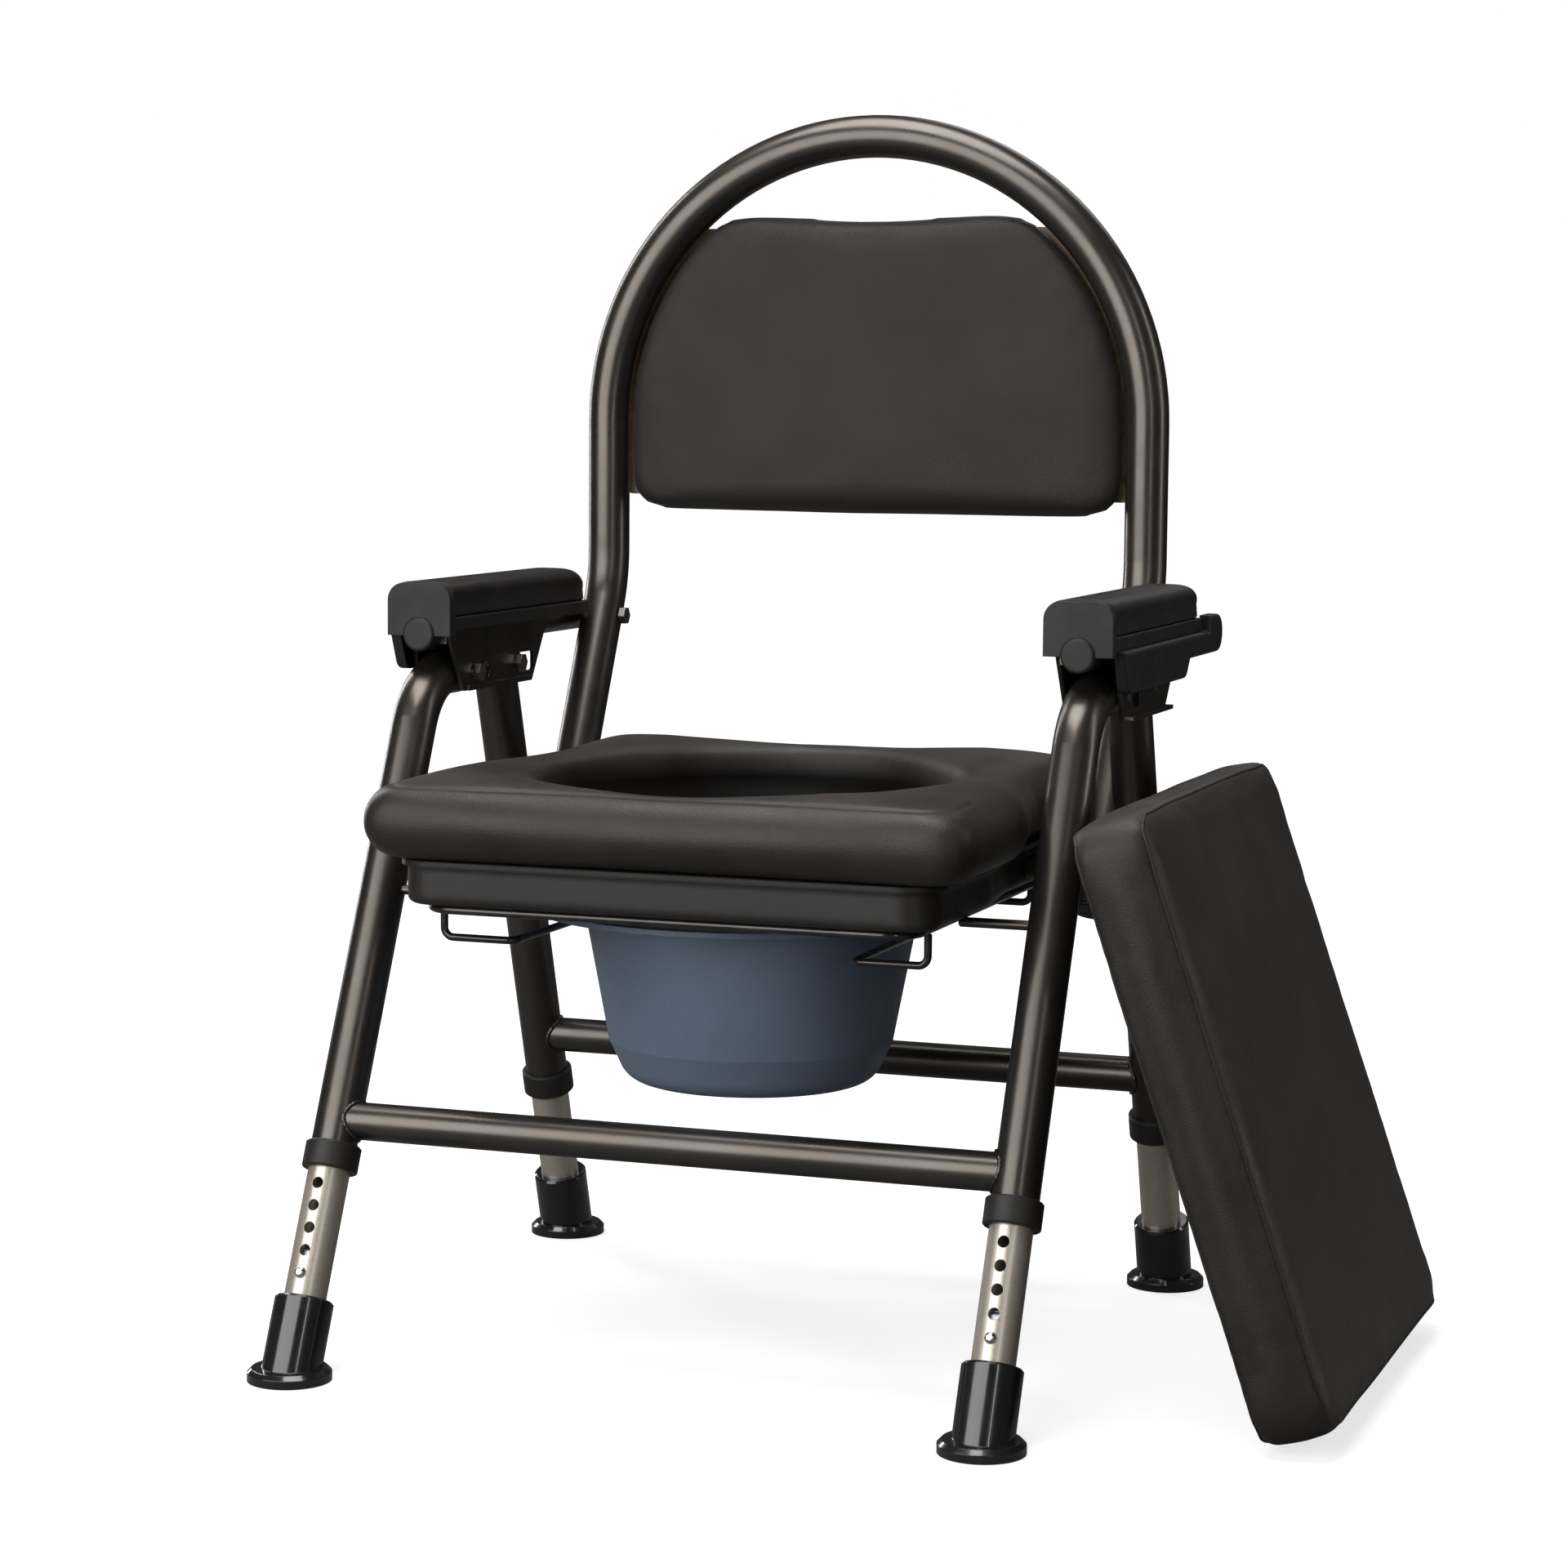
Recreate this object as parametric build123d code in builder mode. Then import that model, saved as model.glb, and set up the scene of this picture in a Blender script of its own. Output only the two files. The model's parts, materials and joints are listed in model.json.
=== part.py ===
from build123d import *

import os
from math import atan2, cos, degrees, radians, sin, sqrt

# Folding commode chair: tube frame, lift-up seat with an opening, sliding pail and height-adjustable legs.
# Frame: origin on the floor midway between the four feet, +X to the sitter's left, +Y to the rear, +Z up.
# Units are millimetres. Each solid belongs to a named sub-part, written as its own STEP file.

os.makedirs("parts", exist_ok=True)

# ---------------------------------------------------------------- driving dimensions
leg_x = 252.0  # plane of the front and rear legs
foot_y = 251.4  # feet stand this far in front of and behind the origin
back_x = 222.5  # plane of the upright back tubes and radius of the arch
seat_tube_x = 218.0  # the back tubes draw in to this at the seat pivot
rail_x = 251.0  # plane of the armrest rails
tube_r = 16.5  # legs and back tube
tube_wall = 1.44
rail_r = 12.5
crossbar_r = 13.5
bolt_r = 4.0
running = 0.06  # radial clearance of a pin or tube that moves

front_lean = 25.0  # degrees from vertical, top towards the rear
front_pivot = (22.0, 478.0)  # (y, z) of the hinge of the front frame
rear_bolt = (100.0, 480.0)  # (y, z) of the bolt at the top of the rear legs
rear_lean = degrees(atan2(foot_y - rear_bolt[0], rear_bolt[1]))
seat_pivot = (150.8, 327.5)  # (y, z) where back tube and rear leg cross: the seat hinge
back_bolt = (246.5, 509.0)  # (y, z) of the bolt between armrest rail and back tube
front_bend_r = 60.0

back_y = 263.0  # plane of the upright part of the back tube
arch_top = 888.0  # top of the arch's centre line
arch_z = arch_top - back_x  # centre of the arch
back_bend_z = 540.5  # where the slanted and the upright part would meet
back_bend_r = 90.0

ext_r = 15.0  # leg extensions
ext_wall = 1.6
ext_end = 12.0  # distances along a leg are measured from the floor
sleeve_top = 57.0
front_collar = 150.0
rear_collar = 132.0
collar_h = 19.0
collar_r = 20.0
ext_insert = 100.0  # length of extension inside the leg tube
hole_pitch = 16.2
hole_first = 12.3  # first hole below the collar
front_hole_count = 5
rear_hole_count = 4
hole_r = 4.08
button_r = 4.0

foot_flange_r = 29.7
foot_flange_h = 9.0
front_bar_z = 170.0
rear_bar_z = 174.0

plate_t = 3.0
inner_plate_x = 231.5  # inner face of the plate inside each armrest
outer_plate_x = 270.0
rail_z = back_bolt[1]
rail_front = -36.0
pad_half_w = 25.2
pad_front = -30.0
pad_rear = 228.0
pad_base_z = 512.0
pad_seam_z = 522.0
pad_top_z = 548.0
cap_overhang = 9.0  # the moulded cap on the front of each armrest
cover_shell_t = 9.0  # depth of the moulded cover outside each armrest
cover_skin = 2.2
cover_end_r = 14.5  # its rounded rear end, and where that end is centred
cover_end_y = 260.0

seat_front = -200.0
seat_rear = 165.0
seat_half_w = 190.0  # at the hinges
seat_front_half_w = 200.0
board_taper = (-60.0, 20.0)  # the board narrows between these Y
cushion_taper = (-60.0, 60.0)
board_bottom = 331.0
board_top = 362.5
cushion_rear = 192.0
cushion_front = -211.0
cushion_front_half_w = 224.0
cushion_rear_half_w = 196.5
opening_y = -5.0
opening_a = 120.0  # half width of the opening
opening_b = 132.0  # half depth of the opening
wire_r = 3.0
wire_x = 179.5
wire_front = -188.0
wire_rear = 152.0
wire_z = board_bottom - wire_r
rail_wire_r = 2.75
rail_wire_x = 126.0
rail_wire_z = 303.0
rail_wire_front = -150.0
rest_r = 3.5  # seat rest pegs on the front legs
rest_z = board_bottom - rest_r - 0.2
rest_inner = 186.0

pail_top = 319.0
pail_bottom = 189.0
pail_r = 121.5
pail_flange_r = 160.0
pail_wall = 2.6

board_panel = (606.0, 818.0)  # lower and upper edge of the backrest board
pad_panel = (594.0, 828.0)  # lower and upper edge of the backrest pad
board_beyond_arch = 6.0  # the board reaches this far past the tube's centre line
panel_board_t = 5.0
rear_cover_t = 2.0
panel_screw_z = (635.0, 680.0, 720.0)
pad_front_face = 250.0
screw_r = 2.2
bracket_screws = ((74.0, 346.0), (106.0, 346.0))  # (y, z) of the screws through each seat hinge bracket

cover_len = 428.0
cover_w = 402.0
cover_t = 58.0
cover_lean = 19.1  # degrees from vertical, top towards the chair
cover_foot_x = 452.0  # middle of the cover's lower edge
cover_y = -5.0


def along_front(distance):
    """Point (y, z) on the centre line of a front leg, this far from the floor along the leg."""
    lean = radians(front_lean)
    return (-foot_y + distance * sin(lean), distance * cos(lean))


def along_rear(distance):
    """Point (y, z) on the centre line of a rear leg, this far from the floor along the leg."""
    lean = radians(rear_lean)
    return (foot_y - distance * sin(lean), distance * cos(lean))


def leg_plane(side, front, distance=0.0):
    """Plane across a leg: its normal runs up the leg and its x axis is the chair's X axis."""
    lean = radians(front_lean if front else rear_lean)
    y, z = along_front(distance) if front else along_rear(distance)
    up = (0, sin(lean), cos(lean)) if front else (0, -sin(lean), cos(lean))
    return Plane(origin=(side * leg_x, y, z), x_dir=(1, 0, 0), z_dir=up)


def button_plane(side, front, distance):
    """Plane at a leg's centre line, with its normal pointing out through the button's side of the leg."""
    lean = radians(front_lean if front else rear_lean)
    y, z = along_front(distance) if front else along_rear(distance)
    out = (0, -cos(lean), sin(lean)) if front else (0, cos(lean), sin(lean))
    return Plane(origin=(side * leg_x, y, z), x_dir=(1, 0, 0), z_dir=out)


def cross_plane(x, point):
    """Plane facing +X at a side view point (y, z): its x axis is the chair's Y, its y axis is Z."""
    return Plane(origin=(x, point[0], point[1]), x_dir=(0, 1, 0), z_dir=(1, 0, 0))


def arch_width(z):
    """Half width of the back tube's centre line at a height above its bend."""
    return back_x if z <= arch_z else sqrt(back_x**2 - (z - arch_z) ** 2)


panel_screws = [(side * arch_width(z), z) for side in (-1, 1) for z in panel_screw_z]


def save(part, label):
    """Name a finished piece and write it as a STEP file."""
    part.label = label
    export_step(part, f"parts/{label}.step")


# ---------------------------------------------------------------- back frame: tubes
low_run = back_bend_z - seat_pivot[1]
back_slope = (back_y - seat_pivot[0]) / low_run
tail = 20.0  # length of back tube below the seat pivot, measured in height
tube_foot = (seat_pivot[0] - tail * back_slope, seat_pivot[1] - tail)
draw_in = (back_x - seat_tube_x) / low_run  # the tubes draw in this much per unit of height below their bend
tube_foot_x = seat_tube_x - tail * draw_in

with BuildPart() as back_arch_tube:
    with BuildLine() as upright:
        FilletPolyline(
            (tube_foot_x, *tube_foot),
            (back_x, back_y, back_bend_z),
            (back_x, back_y, arch_z),
            radius=back_bend_r,
        )
    with BuildSketch(Plane(origin=upright.line @ 0, x_dir=(1, 0, 0), z_dir=upright.line % 0)):
        Circle(tube_r)
        Circle(tube_r - tube_wall, mode=Mode.SUBTRACT)
    sweep(path=upright.line)
    mirror(about=Plane.YZ)
    with BuildLine(Plane.XZ.offset(-back_y)) as arch:
        CenterArc((0, arch_z), back_x, 0, 180)
    with BuildSketch(Plane(origin=arch.line @ 0, x_dir=(1, 0, 0), z_dir=arch.line % 0)):
        Circle(tube_r)
        Circle(tube_r - tube_wall, mode=Mode.SUBTRACT)
    sweep(path=arch.line)
    for point in (seat_pivot, back_bolt):
        with BuildSketch(cross_plane(0, point)):
            Circle(bolt_r)
        extrude(amount=back_x + 2 * tube_r, both=True, mode=Mode.SUBTRACT)
    with BuildSketch(Plane.XZ.offset(-back_y - tube_r / 2)):
        with Locations(*panel_screws):
            Circle(screw_r)
    extrude(amount=-tube_r, mode=Mode.SUBTRACT)
save(back_arch_tube.part, "back_arch_tube")

with BuildPart() as back_tube_plugs:
    lean_dir = Vector(draw_in, back_slope, 1).normalized()
    with BuildSketch(Plane(origin=(tube_foot_x, *tube_foot), z_dir=-lean_dir)):
        Circle(tube_r)
    extrude(amount=3)
    chamfer(faces().sort_by(Axis.Z)[0].edges(), 1.2)
    with BuildSketch(Plane(origin=(tube_foot_x, *tube_foot), z_dir=lean_dir)):
        Circle(tube_r - tube_wall)
    extrude(amount=9)
    mirror(about=Plane.YZ)
save(back_tube_plugs.part, "back_tube_plugs")

rear_leg_end = rear_bolt[1] / cos(radians(rear_lean))
with BuildPart() as rear_legs:
    for side in (-1, 1):
        with BuildSketch(leg_plane(side, False, rear_collar + 2)):
            Circle(tube_r)
            Circle(ext_r + running, mode=Mode.SUBTRACT)
        extrude(amount=rear_leg_end - rear_collar - 2)
        with BuildSketch(cross_plane(side * leg_x, rear_bolt)):
            Circle(tube_r)
        extrude(amount=tube_r, both=True, mode=Mode.SUBTRACT)
        for point in (seat_pivot, rear_bolt):
            with BuildSketch(cross_plane(side * leg_x, point)):
                Circle(bolt_r)
            extrude(amount=tube_r + 1, both=True, mode=Mode.SUBTRACT)
save(rear_legs.part, "rear_legs")

# The top of each rear leg is closed by a rounded moulded plug that carries the bolt.
with BuildPart() as rear_leg_top_plugs:
    for side in (-1, 1):
        with BuildSketch(cross_plane(side * leg_x, rear_bolt)):
            Circle(tube_r - 0.05)
            Circle(bolt_r, mode=Mode.SUBTRACT)
        extrude(amount=tube_r - 1, both=True)
save(rear_leg_top_plugs.part, "rear_leg_top_plugs")


def crossbar(front, height):
    """Tube between a pair of legs, its ends shaped to the leg tubes."""
    place = along_front if front else along_rear
    lean = front_lean if front else rear_lean
    middle = place(height / cos(radians(lean)))
    with BuildPart() as bar:
        with BuildSketch(cross_plane(-leg_x, middle)):
            Circle(crossbar_r)
            Circle(crossbar_r - tube_wall, mode=Mode.SUBTRACT)
        extrude(amount=2 * leg_x)
        for side in (-1, 1):
            with BuildSketch(leg_plane(side, front)):
                Circle(tube_r)
            extrude(amount=2 * height, mode=Mode.SUBTRACT)
    return Part(bar.part.solids().sort_by(SortBy.VOLUME)[-1].wrapped)


save(crossbar(False, rear_bar_z), "rear_crossbar")
save(crossbar(True, front_bar_z), "front_crossbar")


def leg_collars(front, start):
    """Moulded sleeves round the lower ends of a pair of legs, closing on the extension."""
    with BuildPart() as collars:
        for side in (-1, 1):
            with BuildSketch(leg_plane(side, front, start)):
                Circle(collar_r)
                Circle(tube_r, mode=Mode.SUBTRACT)
            extrude(amount=collar_h)
            with BuildSketch(leg_plane(side, front, start)):
                Circle(tube_r)
                Circle(ext_r + running, mode=Mode.SUBTRACT)
            extrude(amount=2)
        rims = collars.edges().filter_by(GeomType.CIRCLE)
        chamfer(rims.filter_by(lambda e: abs(e.radius - collar_r) < 0.01), 1.0)
    return collars


save(leg_collars(False, rear_collar).part, "rear_leg_collars")
save(leg_collars(True, front_collar).part, "front_leg_collars")

# ---------------------------------------------------------------- armrests
rail_end = back_bolt[0] + rail_r
with BuildPart() as armrest_rails:
    for side in (-1, 1):
        with BuildSketch(Plane(origin=(side * rail_x, rail_front, rail_z), x_dir=(1, 0, 0), z_dir=(0, 1, 0))):
            Circle(rail_r)
            Circle(rail_r - tube_wall, mode=Mode.SUBTRACT)
        extrude(amount=rail_end - rail_front)
        with BuildSketch(cross_plane(side * rail_x, back_bolt)):
            Circle(bolt_r)
        extrude(amount=rail_r + 1, both=True, mode=Mode.SUBTRACT)
save(armrest_rails.part, "armrest_rails")

with BuildPart() as armrest_rail_caps:
    for side in (-1, 1):
        for y, inward in ((rail_front, 1), (rail_end, -1)):
            with BuildSketch(Plane(origin=(side * rail_x, y, rail_z), x_dir=(1, 0, 0), z_dir=(0, -inward, 0))):
                Circle(rail_r)
            extrude(amount=5)
            with BuildSketch(Plane(origin=(side * rail_x, y, rail_z), x_dir=(1, 0, 0), z_dir=(0, inward, 0))):
                Circle(rail_r - tube_wall)
            extrude(amount=7)
    ends = armrest_rail_caps.faces().filter_by(Axis.Y).group_by(Axis.Y)
    fillet((ends[0] + ends[-1]).edges(), 2.5)
save(armrest_rail_caps.part, "armrest_rail_caps")

plate_top = pad_base_z - 0.5
with BuildPart() as armrest_inner_plates:
    with BuildSketch(Plane.YZ.offset(inner_plate_x)) as profile:
        with BuildLine():
            Polyline((-29, plate_top), (-1, 465), (127, 465), (158, plate_top), close=True)
        make_face()
        fillet(profile.vertices(), 3)
        with Locations((front_pivot[0] + 6, front_pivot[1])):
            SlotOverall(36, 13, mode=Mode.SUBTRACT)
        with Locations((rear_bolt[0] + 11, rear_bolt[1])):
            RectangleRounded(38, 15, 3, mode=Mode.SUBTRACT)
    extrude(amount=plate_t)
    with BuildSketch(Plane.YZ.offset(inner_plate_x + plate_t)):
        with Locations((62, plate_top - 5)):
            Rectangle(176, 10)
    extrude(amount=7)
    with BuildSketch(Plane.YZ.offset(inner_plate_x - 2.2)):
        with Locations((63, 467)):
            Rectangle(118, 4)
    extrude(amount=2.2)
    with BuildSketch(Plane(origin=(rail_x, rail_front, rail_z), x_dir=(1, 0, 0), z_dir=(0, 1, 0))):
        Circle(rail_r)
    extrude(amount=rail_end - rail_front, mode=Mode.SUBTRACT)
    mirror(about=Plane.YZ)
save(armrest_inner_plates.part, "armrest_inner_plates")

# Outer plate: deep front part over the two leg joints, with a window and a lip turned outwards along its lower
# edge, and a narrow arm to the back tube.
arm_r = 12.0
plate_bottom = 461.0
window = (42.0, 474.3)  # middle (y, z) of the window
lip_z = 3.0
lip_reach = 7.0
with BuildPart() as armrest_outer_plates:
    with BuildSketch(Plane.YZ.offset(outer_plate_x)) as profile:
        with BuildLine():
            Polyline(
                (-4, plate_top),
                (5, plate_bottom),
                (128, plate_bottom),
                (160, rail_z - arm_r),
                (back_bolt[0], rail_z - arm_r),
                (back_bolt[0], plate_top),
                close=True,
            )
        make_face()
        fillet(profile.vertices().group_by(Axis.Y)[0], 5)
        with Locations(back_bolt):
            Circle(arm_r)
        with Locations(window):
            RectangleRounded(20, 11.5, 2, mode=Mode.SUBTRACT)
        for point in (front_pivot, rear_bolt, back_bolt):
            with Locations(point):
                Circle(bolt_r, mode=Mode.SUBTRACT)
    extrude(amount=plate_t)
    with BuildSketch(Plane.YZ.offset(outer_plate_x + plate_t)):
        with Locations((66, plate_bottom + lip_z / 2)):
            Rectangle(118, lip_z)
    extrude(amount=lip_reach)
    mirror(about=Plane.YZ)
save(armrest_outer_plates.part, "armrest_outer_plates")

# Moulded cover over the outer plate: deep at the front, narrow towards the back tube, with a round rear end.
cover_low = 481.0
with BuildPart() as armrest_outer_covers:
    with BuildSketch(Plane.YZ.offset(outer_plate_x + plate_t + 0.1)) as shell:
        with BuildLine():
            Polyline(
                (-25, plate_top),
                (-12, cover_low),
                (158, cover_low),
                (170, rail_z - cover_end_r),
                (cover_end_y, rail_z - cover_end_r),
                (cover_end_y, rail_z + cover_end_r),
                (pad_rear + 4, rail_z + cover_end_r),
                (pad_rear + 4, plate_top),
                close=True,
            )
        make_face()
        fillet(shell.vertices().group_by(Axis.Y)[0], 9)
        with Locations((cover_end_y, rail_z)):
            Circle(cover_end_r)
    extrude(amount=cover_shell_t)
    fillet(faces().sort_by(Axis.X)[-1].edges(), 3)
    with BuildSketch(Plane.YZ.offset(outer_plate_x + plate_t + 0.1)):
        offset(shell.sketch_local.face(), amount=-cover_skin)
    extrude(amount=cover_shell_t - cover_skin, mode=Mode.SUBTRACT)
    mirror(about=Plane.YZ)
save(armrest_outer_covers.part, "armrest_outer_covers")


def armrest_block(y0, y1, z0, z1, corner):
    """One armrest layer on the right-hand side of the model, relieved for the round rail."""
    with BuildPart() as block:
        with BuildSketch(Plane.XZ.offset(-y0)) as section:
            with Locations((rail_x, (z0 + z1) / 2)):
                Rectangle(2 * pad_half_w, z1 - z0)
            fillet(section.vertices().group_by(Axis.Y)[-1], corner)
        extrude(amount=y0 - y1)
        with BuildSketch(Plane(origin=(rail_x, y0 - 20, rail_z), x_dir=(1, 0, 0), z_dir=(0, 1, 0))):
            Circle(rail_r)
        extrude(amount=y1 - y0 + 40, mode=Mode.SUBTRACT)
    return block


def both_sides(block):
    with BuildPart() as pair:
        add(block.part)
        mirror(about=Plane.YZ)
    return pair


save(both_sides(armrest_block(pad_front, pad_rear, pad_base_z, pad_seam_z - 0.1, 1.5)).part, "armrest_pad_bases")
save(both_sides(armrest_block(pad_front, pad_rear, pad_seam_z, pad_top_z, 13)).part, "armrest_pads")
cap_block = armrest_block(pad_front - cap_overhang, pad_front - 0.1, pad_base_z - 4, pad_top_z - 1, 13)
save(both_sides(cap_block).part, "armrest_pad_end_caps")

# ---------------------------------------------------------------- bolts and nuts
washer_r = 8.5


def cross_bolt(point, inside, outside, head_h=4.0, nut_h=5.0):
    """Bolt along X, on both sides of the chair: shank, nut inside, and a domed head outside unless head_h is 0."""
    with BuildPart() as bolts:
        with BuildSketch(cross_plane(inside - nut_h, point)):
            Circle(bolt_r)
        extrude(amount=outside - inside + nut_h)
        if head_h:
            with BuildSketch(cross_plane(outside, point)):
                Circle(washer_r)
            extrude(amount=head_h)
            fillet(faces().sort_by(Axis.X)[-1].edges(), 2.0)
        with BuildSketch(cross_plane(inside - nut_h, point)):
            RegularPolygon(7.2, 6)
        extrude(amount=nut_h)
        mirror(about=Plane.YZ)
    return bolts


outer_face = outer_plate_x + plate_t
save(cross_bolt(front_pivot, inner_plate_x, outer_face, head_h=0).part, "front_pivot_bolts")
save(cross_bolt(rear_bolt, inner_plate_x, outer_face, head_h=0).part, "rear_leg_bolts")
bolt_tube_x = back_x - draw_in * (back_bend_z - rail_z)  # back tube's centre at the armrest bolt
save(cross_bolt(back_bolt, bolt_tube_x - tube_r - 0.3, outer_face).part, "armrest_back_bolts")
save(cross_bolt(seat_pivot, seat_half_w + 4.9, leg_x + tube_r, nut_h=4.0).part, "seat_pivot_bolts")


def spacers(point, x0, x1, outer_r=7.0, bore=bolt_r):
    """Round spacer between two members on a cross bolt, on both sides of the chair."""
    with BuildPart() as rings:
        with BuildSketch(cross_plane(x0, point)):
            Circle(outer_r)
            Circle(bore, mode=Mode.SUBTRACT)
        extrude(amount=x1 - x0)
        mirror(about=Plane.YZ)
    return rings


# The front leg turns on its bolt, so its sleeve and the spacers beside it keep a running gap.
plate_gap = 0.1
with BuildPart() as bolt_spacers:
    outer_gap = leg_x + tube_r
    add(spacers(front_pivot, outer_gap + plate_gap, outer_plate_x).part)
    add(spacers(rear_bolt, outer_gap, outer_plate_x).part)
    add(spacers(front_pivot, inner_plate_x + plate_t, leg_x - tube_r - plate_gap).part)
    add(spacers(rear_bolt, inner_plate_x + plate_t, leg_x - tube_r).part)
    add(spacers(back_bolt, rail_x + rail_r - 0.6, outer_plate_x).part)
    add(spacers(seat_pivot, seat_tube_x + tube_r + 0.3, leg_x - tube_r).part)
    for side in (-1, 1):
        with BuildSketch(Plane(origin=(side * rail_x, rail_front, rail_z), x_dir=(1, 0, 0), z_dir=(0, 1, 0))):
            Circle(rail_r)
        extrude(amount=rail_end - rail_front, mode=Mode.SUBTRACT)
save(bolt_spacers.part, "bolt_spacers")

# ---------------------------------------------------------------- front frame
bend_y = along_front(front_pivot[1] / cos(radians(front_lean)))[0]
with BuildPart() as front_legs:
    with BuildLine(Plane.YZ.offset(leg_x)) as leg_line:
        FilletPolyline(
            along_front(front_collar + 2),
            (bend_y, front_pivot[1]),
            (front_pivot[0] + tube_r, front_pivot[1]),
            radius=front_bend_r,
        )
    with BuildSketch(Plane(origin=leg_line.line @ 0, x_dir=(1, 0, 0), z_dir=leg_line.line % 0)):
        Circle(tube_r)
        Circle(ext_r + running, mode=Mode.SUBTRACT)
    sweep(path=leg_line.line)
    with BuildSketch(cross_plane(leg_x, front_pivot)):
        with Locations((tube_r / 2 + 1, 0)):
            Rectangle(tube_r + 2, 3 * tube_r)
        Circle(tube_r - 0.2, mode=Mode.SUBTRACT)
    extrude(amount=tube_r + 1, both=True, mode=Mode.SUBTRACT)
    with BuildSketch(cross_plane(leg_x, front_pivot)):
        Circle(6.5)
    extrude(amount=tube_r + 1, both=True, mode=Mode.SUBTRACT)
    mirror(about=Plane.YZ)
save(front_legs.part, "front_legs")

with BuildPart() as front_leg_bushes:
    with BuildSketch(cross_plane(leg_x - tube_r, front_pivot)):
        Circle(6.5)
        Circle(bolt_r + running, mode=Mode.SUBTRACT)
    extrude(amount=2 * tube_r)
    mirror(about=Plane.YZ)
save(front_leg_bushes.part, "front_leg_bushes")

rest_y = along_front(rest_z / cos(radians(front_lean)))[0]
with BuildPart() as seat_rests:
    with BuildSketch(cross_plane(rest_inner, (rest_y, rest_z))):
        Circle(rest_r)
    extrude(amount=leg_x - rest_inner)
    chamfer(faces().sort_by(Axis.X)[0].edges(), 1.0)
    with BuildSketch(leg_plane(1, True)):
        Circle(tube_r)
    extrude(amount=500, mode=Mode.SUBTRACT)
    mirror(about=Plane.YZ)
save(seat_rests.part, "seat_rests")

# ---------------------------------------------------------------- leg extensions, feet and buttons
sleeve_r = 21.0


def hole_places(front):
    """Distances of the height holes along a leg, from the collar down."""
    collar, count = (front_collar, front_hole_count) if front else (rear_collar, rear_hole_count)
    return [collar - hole_first - step * hole_pitch for step in range(count)]


def leg_extension(side, front):
    """Inner tube of one leg, with a row of height holes on its outward side."""
    collar = front_collar if front else rear_collar
    with BuildPart() as tube:
        with BuildSketch(leg_plane(side, front, ext_end)):
            Circle(ext_r)
            Circle(ext_r - ext_wall, mode=Mode.SUBTRACT)
        extrude(amount=collar + ext_insert - ext_end)
        for distance in hole_places(front):
            with BuildSketch(button_plane(side, front, distance)):
                Circle(hole_r)
            extrude(amount=ext_r + 2, mode=Mode.SUBTRACT)
    return tube


def foot(side, front):
    """Moulded foot: sleeve along the leg, flat round flange on the floor, shallow recess below."""
    with BuildPart() as shoe:
        base = leg_plane(side, front, -20)
        with BuildSketch(base):
            Circle(sleeve_r)
        extrude(amount=sleeve_top + 20)
        chamfer(faces().sort_by(Axis(base.origin, base.z_dir))[-1].edges(), 1.5)
        split(bisect_by=Plane.XY, keep=Keep.TOP)
        y = -foot_y if front else foot_y
        with BuildSketch(Plane(origin=(side * leg_x, y, 0))):
            Circle(foot_flange_r)
        extrude(amount=foot_flange_h - 3)
        with BuildSketch(Plane(origin=(side * leg_x, y, foot_flange_h - 3))):
            Circle(foot_flange_r)
        extrude(amount=3, taper=45)
        with BuildSketch(Plane(origin=(side * leg_x, y, 0))):
            Circle(foot_flange_r - 11)
        extrude(amount=1.5, mode=Mode.SUBTRACT)
        with BuildSketch(leg_plane(side, front, ext_end)):
            Circle(ext_r)
        extrude(amount=sleeve_top, mode=Mode.SUBTRACT)
    return shoe


def button(side, front):
    """Snap button in the lowest hole: collar inside the tube, round-nosed pin through the wall."""
    with BuildPart() as pin:
        place = button_plane(side, front, hole_places(front)[-1])
        with BuildSketch(place.offset(9)):
            Circle(5.5)
        extrude(amount=2.8)
        with BuildSketch(place.offset(11.8)):
            Circle(button_r)
        extrude(amount=ext_r + 3.2 - 11.8)
        fillet(pin.faces().sort_by(Axis(place.origin, place.z_dir))[-1].edges(), 2.6)
    return pin


def button_spring(side, front):
    """Bent leaf spring behind the button, lying inside the extension tube."""
    place = button_plane(side, front, hole_places(front)[-1])
    side_plane = Plane(origin=place.origin - place.x_dir * 3.5, x_dir=place.z_dir, z_dir=place.x_dir)
    with BuildPart() as leaf:
        with BuildSketch(side_plane):
            with BuildLine():
                centre = FilletPolyline((8.6, 8), (8.6, -22), (-5, -22), (-5, 14), radius=6)
                offset(centre, amount=0.4)
            make_face()
        extrude(amount=7)
    return leaf


corners = {"front_left": (-1, True), "front_right": (1, True), "rear_left": (-1, False), "rear_right": (1, False)}
for corner, (side, front) in corners.items():
    save(leg_extension(side, front).part, f"leg_extension_{corner}")
    save(foot(side, front).part, f"foot_{corner}")
    save(button(side, front).part, f"height_button_{corner}")
    save(button_spring(side, front).part, f"button_spring_{corner}")

# ---------------------------------------------------------------- seat
def seat_outline(front_half_w, rear_half_w, front, rear, taper, corner):
    """Closed outline that narrows from its front half width to its rear one between two Y values."""
    right = ((front_half_w, front), (front_half_w, taper[0]), (rear_half_w, taper[1]), (rear_half_w, rear))
    left = [(-x, y) for x, y in reversed(right)]
    with BuildLine() as outline:
        FilletPolyline(*right, *left, radius=corner, close=True)
    return outline.edges()


# Moulded board with a deep edge rounded underneath, a lip along its top and the oval opening.
lip = 4.0
board_skin = 7.0


def board_outline(inset, corner):
    """Outline of the seat board, drawn in by this much all round."""
    front_w, rear_w = seat_front_half_w - inset, seat_half_w - inset
    return seat_outline(front_w, rear_w, seat_front + inset, seat_rear - inset, board_taper, corner)


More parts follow.
